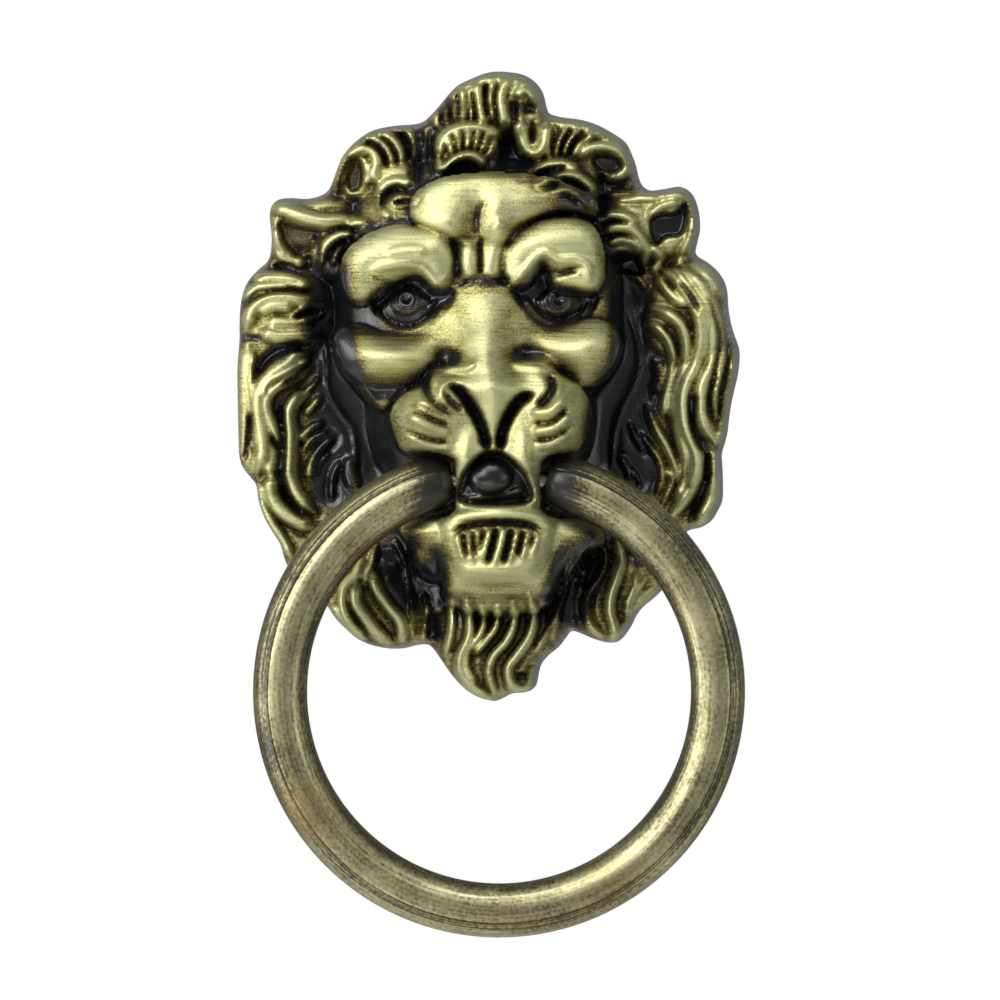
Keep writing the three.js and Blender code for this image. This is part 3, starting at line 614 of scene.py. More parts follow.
# Raised strands: the points each runs through, its half width and its rise above the form under it.
LOCKS: tuple[Lock, ...] = (
    # left of the face, outside in
    Lock(((-26.7, 4.2), (-26.9, 0), (-26.6, -4), (-26.9, -7), (-26.2, -8.8)), 1.0, 0.9),
    Lock(((-25.9, 3.6), (-26.1, 1.0), (-26.0, -1.6), (-25.7, -4.0), (-25.6, -6.6)), 0.3, 1.3),
    Lock(((-20.2, 3.5), (-22, 2.4), (-24, 1.1), (-25.1, -0.4), (-25.3, -2.5), (-24.9, -5), (-24.8, -7),
          (-25.4, -8.8)), 0.8, 1.9),
    Lock(((-20.1, 1.9), (-22, 0.7), (-23.8, -0.5), (-24.5, -2), (-23.9, -4), (-23.2, -5.5),
          (-22.6, -6.4)), 0.55, 1.8),
    Lock(((-20.0, 2.8), (-22, 1.6), (-24.2, 0.3), (-24.9, -1.4)), 0.26, 2.2),
    Lock(((-22.9, -6.4), (-22.9, -8.4), (-22.7, -10.2), (-22.0, -11.8)), 0.24, 1.3),
    Lock(((-20.2, -0.7), (-21.4, -1.5), (-22.1, -3), (-21.9, -5), (-21.9, -7.4), (-21.9, -9.6),
          (-21.2, -11.4), (-19.6, -13.2)), 0.66, 1.7),
    Lock(((-23.7, -6.2), (-23.9, -8), (-24.3, -9.2)), 0.6, 1.3),
    Lock(((-23.9, -9.6), (-24, -11.2), (-23.2, -12.8), (-21.8, -13.9), (-19.8, -14.8)), 0.75, 1.8),
    Lock(((-25.3, -10.3), (-25, -12.4), (-24, -14.5), (-22.9, -16.1), (-21.9, -17.9)), 0.5, 1.3),
    Lock(((-19.0, 1.0), (-19.6, 0.1), (-20.4, -0.5)), 0.22, 0.7),
    Lock(((-18.9, -1.2), (-19.6, -2.1), (-20.5, -2.9)), 0.42, 0.8),
    Lock(((-18.6, -3.9), (-19.8, -4.4), (-21, -5.6)), 0.4, 0.8),
    Lock(((-18.0, -4.8), (-19.6, -5.5), (-20.8, -6.9)), 0.3, 0.7),
    Lock(((-17.6, -5.4), (-19, -6.8), (-19.8, -8.3), (-20, -9.8)), 0.5, 1.0),
    Lock(((-17.9, -7.0), (-19.0, -8.4), (-19.3, -9.6)), 0.2, 0.6),
    Lock(((-16.8, -8.0), (-17.5, -9.4), (-17.7, -11.8)), 0.36, 0.9),
    Lock(((-15.6, -7.6), (-15.7, -9.2), (-15.2, -10.6)), 0.7, 0.7),
    # left, above
    Lock(((-25.9, 11.5), (-24, 11.5), (-22, 11.2), (-20, 10.4)), 0.62, 1.2),
    Lock(((-26.9, 9.4), (-25.6, 10.4), (-24, 10.6), (-22, 10.5)), 0.5, 1.1),
    Lock(((-26.6, 6.2), (-26, 8.1), (-24.6, 9.3), (-22.4, 9.5), (-20.8, 9.0), (-19.2, 8.9)), 0.62, 1.4),
    Lock(((-25.3, 7.9), (-23.5, 8.5), (-21.8, 8.3)), 0.6, 1.0),
    Lock(((-24.9, 5.6), (-23.2, 5.1), (-21.0, 5.2), (-19.2, 5.4)), 0.7, 1.3),
    Lock(((-24.2, 6.6), (-22, 6.4), (-19.8, 6.6)), 0.7, 0.7),
    Lock(((-21.9, 7.4), (-20.4, 8.3), (-19.0, 8.4), (-18.6, 7.8), (-19.4, 7.2), (-21.0, 6.9)), 0.26, 1.2),
    # left ear
    Lock(((-23.8, 19.0), (-22.4, 18.6), (-21, 17.9), (-18.6, 17.3), (-16.4, 17.4), (-14.6, 17.2)), 0.72, 1.5),
    Lock(((-23.6, 16.6), (-23.6, 15), (-22.8, 13.8), (-21.6, 13.1), (-20.4, 13.0)), 0.62, 1.1),
    Lock(((-18.9, 12.6), (-18.7, 14), (-17.9, 15.2), (-16.6, 15.9), (-15.4, 15.9)), 0.5, 1.5),
    Lock(((-17.4, 12.8), (-17.2, 13.8), (-16.5, 14.7)), 0.36, 1.1),
    Lock(((-19.6, 15.6), (-19.2, 14.2), (-19.4, 12.6)), 0.5, 0.9),
    # upper left tuft
    Lock(((-17.1, 20.8), (-16.7, 22.8), (-15.8, 24.4), (-14.4, 25.0), (-13.2, 24.6), (-12.8, 23.4),
          (-13.1, 22.2), (-12.4, 21.4)), 0.6, 1.6),
    Lock(((-15.4, 25.9), (-13.6, 26.2), (-12.4, 25.6), (-11.6, 24.5), (-11.2, 23.2)), 0.42, 1.5),
    Lock(((-13.4, 26.8), (-12.0, 26.5), (-10.9, 25.6), (-10.3, 24.4), (-10.2, 23.4)), 0.4, 1.4),
    Lock(((-11.8, 27.2), (-10.2, 27.3), (-9.2, 26.4), (-8.8, 25), (-8.9, 23.6)), 0.42, 1.4),
    Lock(((-14.6, 24.0), (-13.8, 22.6), (-14.0, 21.2)), 0.5, 0.8),
    Lock(((-13.4, 22.0), (-11.6, 22.6), (-9.4, 22.8)), 0.7, 1.1),
    Lock(((-12.7, 20.4), (-11.9, 21.3), (-10.6, 21.7), (-9.2, 21.3)), 0.55, 1.3),
    Lock(((-11.5, 19.1), (-10.6, 19.7), (-9.6, 19.8), (-8.6, 19.4)), 0.24, 0.9),
    Lock(((-11.4, 19.0), (-10.6, 18.7), (-9.6, 18.8), (-8.7, 19.3)), 0.22, 0.7),
    Lock(((-12.6, 19.6), (-12.2, 18.3), (-11.4, 17.6)), 0.4, 0.7),
    # top tuft
    Lock(((-6.9, 29.4), (-6.6, 28.2), (-6.4, 27.2)), 0.45, 1.1),
    Lock(((-5.4, 31.0), (-4.0, 31.9), (-2.4, 32.3), (-0.6, 32.6), (1.2, 32.6), (2.8, 32.0), (4.0, 30.8),
          (4.3, 29.3)), 0.75, 1.0),
    Lock(((-5.9, 30.0), (-5.6, 28.8), (-5.6, 27.6)), 0.3, 1.0),
    Lock(((-4.9, 31.0), (-4.7, 29.6), (-4.6, 28.2)), 0.3, 1.0),
    Lock(((-4.0, 31.3), (-3.8, 29.8), (-3.8, 28.0)), 0.46, 1.4),
    Lock(((-3.2, 31.4), (-3.0, 29.8), (-2.9, 28.0)), 0.26, 1.1),
    Lock(((-2.4, 31.8), (-2.2, 30.4), (-1.9, 29), (-1.5, 27.5)), 0.56, 1.5),
    Lock(((-0.6, 32.2), (-0.9, 30.8), (-0.9, 29.4), (-0.6, 28.0)), 0.32, 1.2),
    Lock(((1.2, 32.4), (0.3, 31), (0.3, 29.4), (0.8, 27.4)), 0.62, 1.5),
    Lock(((2.1, 31.8), (1.4, 30.9), (1.2, 29.9)), 0.3, 1.2),
    Lock(((1.9, 30.4), (2.6, 31.1), (3.2, 30.9), (3.7, 30.1)), 0.4, 1.2),
    Lock(((2.3, 30.0), (2.3, 29.0), (1.9, 27.9)), 0.4, 0.9),
    # forelock: a fan over a curl
    Lock(((-6.4, 24.2), (-6.0, 26), (-4.8, 27.0), (-3, 27.4), (-1, 27.0), (0.2, 26)), 0.5, 1.1),
    Lock(((-5.4, 26.0), (-5.0, 24.4)), 0.34, 1.0),
    Lock(((-4.4, 26.6), (-4.2, 24.8)), 0.34, 1.0),
    Lock(((-3.2, 26.8), (-3.3, 25)), 0.34, 1.0),
    Lock(((-2.2, 26.6), (-2.5, 24.9)), 0.34, 1.0),
    Lock(((-1.2, 26.4), (-1.8, 24.6)), 0.34, 1.0),
    Lock(((-0.4, 25.8), (-1.2, 24)), 0.34, 1.0),
    Lock(((-6.6, 24.0), (-6.2, 23.0), (-5.4, 23.1), (-4.4, 23.8), (-3, 24.1), (-2.0, 23.6),
         (-1.5, 22.8)), 0.5, 1.7),
    # upper right tuft
    Lock(((2.3, 28.0), (2.2, 26.4), (2.6, 25.0), (3.6, 24.2), (4.6, 25), (4.9, 26.4), (4.8, 27.6)),
         0.62, 1.6),
    Lock(((5.6, 28.0), (7.6, 27.8), (9.6, 27.4), (11.4, 26.6), (12.9, 25.6), (13.8, 24)), 0.7, 1.0),
    Lock(((7.0, 27.2), (6.3, 25.8), (6.0, 24.2)), 0.34, 1.3),
    Lock(((8.3, 27.0), (7.3, 25.8), (6.8, 24.3)), 0.32, 1.3),
    Lock(((9.9, 26.6), (8.6, 25.6), (7.8, 24.2)), 0.42, 1.4),
    Lock(((5.2, 26.8), (5.1, 25.2), (5.3, 24.0)), 0.4, 1.2),
    Lock(((3.0, 27.6), (3.0, 26.2), (3.5, 25.2), (4.1, 26.2), (4.1, 27.6)), 0.2, 0.8),
    Lock(((8.4, 24.0), (9.6, 25.0), (11.5, 25.1), (13, 24.4), (13.6, 23.0), (12.6, 22.0), (11.4, 21.8)),
         0.5, 1.2),
    # locks over the right brow
    Lock(((2.6, 22.1), (4.4, 23.1), (6.6, 23.4), (8.4, 22.8)), 0.55, 1.2),
    Lock(((4.4, 21.0), (6.2, 22.0), (8, 22.0), (9.4, 21.1), (10.1, 19.8), (9.9, 18.6)), 0.6, 1.6),
    Lock(((6.0, 20.2), (7.4, 20.4), (8.8, 19.5), (9.4, 18.6)), 0.42, 1.0),
    # right ear
    Lock(((11.5, 20.0), (13.8, 20.0), (16, 20.1), (18.2, 20.4), (20, 20.2), (20.7, 18.8), (20.7, 16.6),
          (20.0, 14.6), (18.8, 13.2)), 0.6, 1.0),
    Lock(((15.7, 17.8), (17, 18.9), (18.8, 19.4)), 0.4, 0.8),
    Lock(((10.2, 17.2), (11.6, 18.0), (13.2, 17.8), (14.4, 17.0)), 0.5, 1.2),
    Lock(((10.9, 16.1), (12.2, 16.6), (13.8, 16.5), (15.0, 15.4), (15.4, 14.0), (15.2, 12.8)), 0.5, 1.3),
    Lock(((11.4, 14.9), (12.8, 15.3), (14.3, 14.9), (15.0, 13.8)), 0.36, 1.1),
    Lock(((16.0, 14.6), (17.0, 13.4), (16.2, 12.0)), 0.5, 0.9),
    # right of the face, outside in
    Lock(((20.4, 12.9), (22.3, 11.5), (23.6, 9), (24.2, 6.4), (24.7, 3.6), (24.5, 1), (24.0, -2),
          (23.6, -4.8), (22.9, -5.8)), 0.66, 1.4),
    Lock(((21.4, 11.9), (22.8, 9.4), (23.6, 6.4), (23.7, 3.6), (23.2, 1.2), (22.7, -1.0), (22.8, -3.4)), 0.34, 1.3),
    Lock(((18.4, 12.4), (20.2, 10.2), (21.6, 7.8), (21.9, 4.8), (21.5, 2.4)), 0.3, 1.9),
    Lock(((19.4, 12.4), (21.2, 10.6), (22.4, 7.8), (22.8, 4.8), (22.4, 2.2), (21.4, 0.2), (21.2, -2),
          (21.7, -4.2), (22.6, -5.6)), 0.78, 1.9),
    Lock(((17.6, 12.0), (19.4, 10.4), (20.9, 8), (21.3, 5), (20.7, 2.4), (19.6, 0.2), (19.2, -2),
          (19.6, -4.5), (20.6, -6.8), (20.8, -9), (19.8, -11.4), (18.2, -13.6)), 0.74, 1.9),
    Lock(((16.2, 8.2), (17.8, 7.5), (19.2, 6.2), (19.7, 4), (19.3, 1.8), (18.5, 0), (18.3, -2.4),
          (18.9, -5), (19.5, -7.2), (19.7, -9.2)), 0.56, 1.5),
    Lock(((15.6, 6.6), (17.2, 5.6), (18.2, 3.8), (18.2, 1.4), (17.6, -1), (17.3, -3.2)), 0.5, 1.3),
    Lock(((15.6, -2.2), (16.6, -4.6), (17.8, -6.6), (18.6, -8.6), (18.9, -10)), 0.48, 1.2),
    Lock(((14.9, -5.0), (15.9, -6.4), (16.9, -7.8), (17.2, -9.6), (16.6, -11.4)), 0.34, 0.9),
    Lock(((17.6, -8.8), (18.3, -9.8), (17.9, -11), (17.2, -12.4)), 0.26, 0.9),
    Lock(((13.8, -3.8), (14.3, -5.2), (15.2, -6.8)), 0.3, 0.8),
    Lock(((12.8, -7.5), (13.5, -8.6), (13.8, -9.8)), 0.34, 0.9),
    Lock(((13.8, -8.5), (14.5, -9.4), (14.9, -10.6)), 0.2, 0.8),
    Lock(((16.5, 2.4), (17.2, 1.1), (16.4, -0.6)), 0.7, 0.7),
    Lock(((22.9, -7.3), (23.1, -9.8), (22.6, -12.2), (21.2, -14.2)), 0.9, 1.5),
    Lock(((18.7, -2.6), (18.6, -4.6), (19.4, -7.6), (19.4, -9.8), (18.6, -11.8)), 0.3, 1.4),
    Lock(((21.9, -10.0), (21.4, -12), (20.9, -13.9)), 0.26, 1.1),
    Lock(((13.2, 12.0), (14.6, 11.4), (15.6, 10.2)), 0.3, 0.6),
    Lock(((16.6, 11.6), (17.6, 10.2), (18.8, 9.0), (20, 8.6)), 0.5, 1.1),
    # beard, left to right
    Lock(((-5.3, -22.4), (-5.0, -24), (-5.1, -26), (-5.6, -28)), 0.42, 1.2),
    Lock(((-3.5, -22.6), (-3.1, -24.5), (-3.2, -26.4), (-4.1, -28.4), (-4.1, -30.2), (-2.8, -31.8),
          (-0.9, -32.9)), 0.5, 1.7),
    Lock(((-1.8, -23.4), (-1.6, -25), (-2.3, -26.6), (-3.4, -28), (-3.4, -29.8), (-2.4, -31.4)), 0.42, 1.4),
    Lock(((-0.1, -23.2), (-0.3, -25.2), (-1.4, -26.8), (-2.6, -28.2)), 0.4, 1.5),
    Lock(((1.5, -22.8), (1.6, -24.8), (0.8, -26.8), (-0.6, -28.4), (-1.1, -30.2), (-0.5, -32.2)), 0.44, 1.7),
    Lock(((3.2, -22.0), (3.7, -24), (3.3, -26.2), (2.0, -28.2), (1.0, -29.6), (1.2, -31.2), (2.2, -31.9),
          (3.3, -31.6), (3.6, -30.2), (4.1, -29.0)), 0.48, 1.7),
    Lock(((8.0, -18.0), (7.2, -20.4), (6.4, -23.2), (5.2, -25.8), (3.9, -27.8)), 0.34, 1.0),
    Lock(((6.4, -22.4), (6.2, -24.6), (5.6, -26.8)), 0.3, 0.9),
    Lock(((9.3, -16.6), (8.0, -18.8), (6.6, -21.0), (5.2, -23.2)), 0.24, 0.8),
    Lock(((9.6, -18.4), (8.8, -20.2), (8.4, -21.8)), 0.34, 0.9),
    # lobe right of the beard
    Lock(((10.8, -16.4), (11.2, -18.2), (10.5, -20.2), (9.4, -21.8), (9.1, -23.4), (9.6, -25.2),
          (10.8, -26.3)), 0.42, 1.7),
    Lock(((12.4, -16.4), (12.9, -18.2), (12.4, -20.2), (11.8, -22), (11.7, -23.8), (12.2, -25.6),
          (12.0, -26.6)), 0.52, 1.9),
    Lock(((11.9, -16.6), (12.2, -18.4), (11.8, -19.8)), 0.2, 0.9),
    Lock(((14.4, -19.6), (14.3, -21.0), (13.3, -23.2)), 0.3, 1.0),
    Lock(((15.6, -20.0), (14.6, -21.6), (13.2, -24.0)), 0.26, 1.0),
    Lock(((16.6, -21.2), (14.9, -23.0), (13.6, -25.2), (12.8, -26.6)), 0.6, 1.0),
    # lobe left of the beard
    Lock(((-14.5, -18.2), (-15.0, -19.8), (-16.2, -21.0), (-16.5, -22.8), (-15.8, -24.8), (-14.2, -26.6)),
         0.5, 1.5),
    Lock(((-15.0, -20.8), (-15.1, -22.6), (-14.2, -24.2), (-12.8, -26.0), (-11.6, -27.0)), 0.62, 1.8),
    Lock(((-13.1, -19.8), (-12.8, -21.4), (-11.6, -23.2), (-10.4, -24.8), (-10.1, -26.8)), 0.6, 1.8),
    Lock(((-12.9, -17.0), (-13.4, -18.6), (-14.3, -20.6)), 0.4, 0.9),
    Lock(((-9.4, -21.0), (-9.2, -23), (-9.1, -26.4)), 0.24, 0.9),
    Lock(((-7.9, -22.0), (-7.6, -24.0), (-8.0, -26.6)), 0.34, 1.2),
    Lock(((-17.6, -23.0), (-16.6, -25.0), (-14.8, -26.4)), 0.5, 0.9),
    Lock(((-11.0, -16.4), (-10.0, -18.4), (-9.6, -20.6)), 0.3, 0.7),
)

# Fine raised lines on the face: folds, lid edges and the seams between forms.
FOLDS: tuple[Lock, ...] = (
    Lock(((-0.1, 17.0), (0.0, 15.6), (-0.3, 14.0), (-0.7, 12.6), (-0.7, 11.2)), 0.8, 0.8),
    Lock(((-1.3, 19.4), (-1.9, 17.8), (-2.0, 16.2), (-1.6, 15.2)), 0.14, 0.5),
    Lock(((-1.5, 15.0), (-1.6, 13.4), (-1.8, 11.6)), 0.12, 0.5),
    Lock(((1.7, 10.8), (2.9, 12.0), (3.9, 13.2), (4.8, 13.6), (6.2, 13.0), (8.0, 13.0), (9.2, 12.4),
         (9.4, 11.0)), 0.42, 0.6),
    Lock(((-13.2, 12.0), (-11, 12.4), (-9, 12.4), (-7.8, 11.9), (-7.0, 11.0), (-6.3, 10.5),
         (-5.6, 11.2)), 0.42, 0.5),
    Lock(((-11.6, 13.6), (-9.6, 14.0), (-7.6, 13.8)), 0.5, 0.3),
    Lock(((-7.0, -0.2), (-6.5, 1.2), (-5.2, 1.7), (-3.6, 1.7), (-2.4, 2.2)), 0.36, 0.9),
    Lock(((-4.3, 10.1), (-2.1, 11.0), (1.1, 10.1)), 0.22, 0.6),
    Lock(LEFT_LID_OUTER, 0.28, 0.9),
    Lock(LEFT_LID_INNER, 0.24, 0.8),
    Lock(((-13.3, 11.2), (-11.8, 10.9), (-10, 10.4)), 0.2, 0.5),
    Lock(RIGHT_LID_OUTER, 0.26, 0.9),
    Lock(RIGHT_LID_INNER, 0.22, 0.8),
    Lock(((-4.6, 0.4), (-5.8, 0.0), (-6.0, -1.0), (-5.2, -2.2)), 0.26, 0.7),
    Lock(((1.4, 2.1), (3.4, 2.1), (5.4, 1.6), (6.2, 0.4), (6.0, -1.0)), 0.4, 0.6),
    Lock(((-8.6, -1.5), (-6.8, -2.1), (-4.9, -3.2)), 0.42, 0.8),
    Lock(((-9.4, -3.4), (-7.2, -4.3), (-5.0, -5.0)), 0.45, 0.9),
    Lock(((-9.8, -5.4), (-7.4, -6.4), (-5.0, -6.6)), 0.4, 0.7),
    Lock(((3.4, -2.9), (5.2, -2.8), (6.8, -1.4)), 0.4, 0.8),
    Lock(((3.6, -4.9), (5.4, -4.7), (7.5, -3.3)), 0.42, 0.9),
    Lock(((3.8, -6.5), (5.4, -6.3), (7.3, -5.2)), 0.36, 0.6),
    Lock(((-3.5, -11.9), (-1, -11.7), (1.6, -11.2), (2.5, -10.6)), 0.3, 0.7),
    Lock(((-4.4, -15.6), (-4.0, -17), (-3.5, -18.3)), 0.34, 0.7),
    Lock(((-3.2, -15.4), (-3.1, -17), (-2.7, -18.4)), 0.3, 0.8),
    Lock(((-2.2, -15.2), (-2.2, -16.8), (-1.8, -18.2)), 0.3, 0.8),
    Lock(((-0.9, -15.1), (-1.3, -16.6), (-1.7, -18.2)), 0.32, 0.9),
    Lock(((0.5, -15.0), (0.1, -16.8), (-0.5, -18.6)), 0.34, 0.9),
    Lock(((1.9, -15.2), (1.5, -17), (1.0, -18.4)), 0.32, 0.9),
    Lock(((3.1, -15.4), (2.7, -17), (2.4, -18.2)), 0.32, 0.8),
    Lock(((4.0, -15.8), (3.7, -17), (3.4, -18)), 0.28, 0.6),
    Lock(LEFT_SEAM, 0.2, 0.5),
    Lock(RIGHT_SEAM, 0.16, 0.5),
    Lock(((-14.9, 0.9), (-13.6, -0.8), (-12.1, -2.2), (-10.4, -1.2), (-8.2, 0.3)), 0.16, 0.35),
)

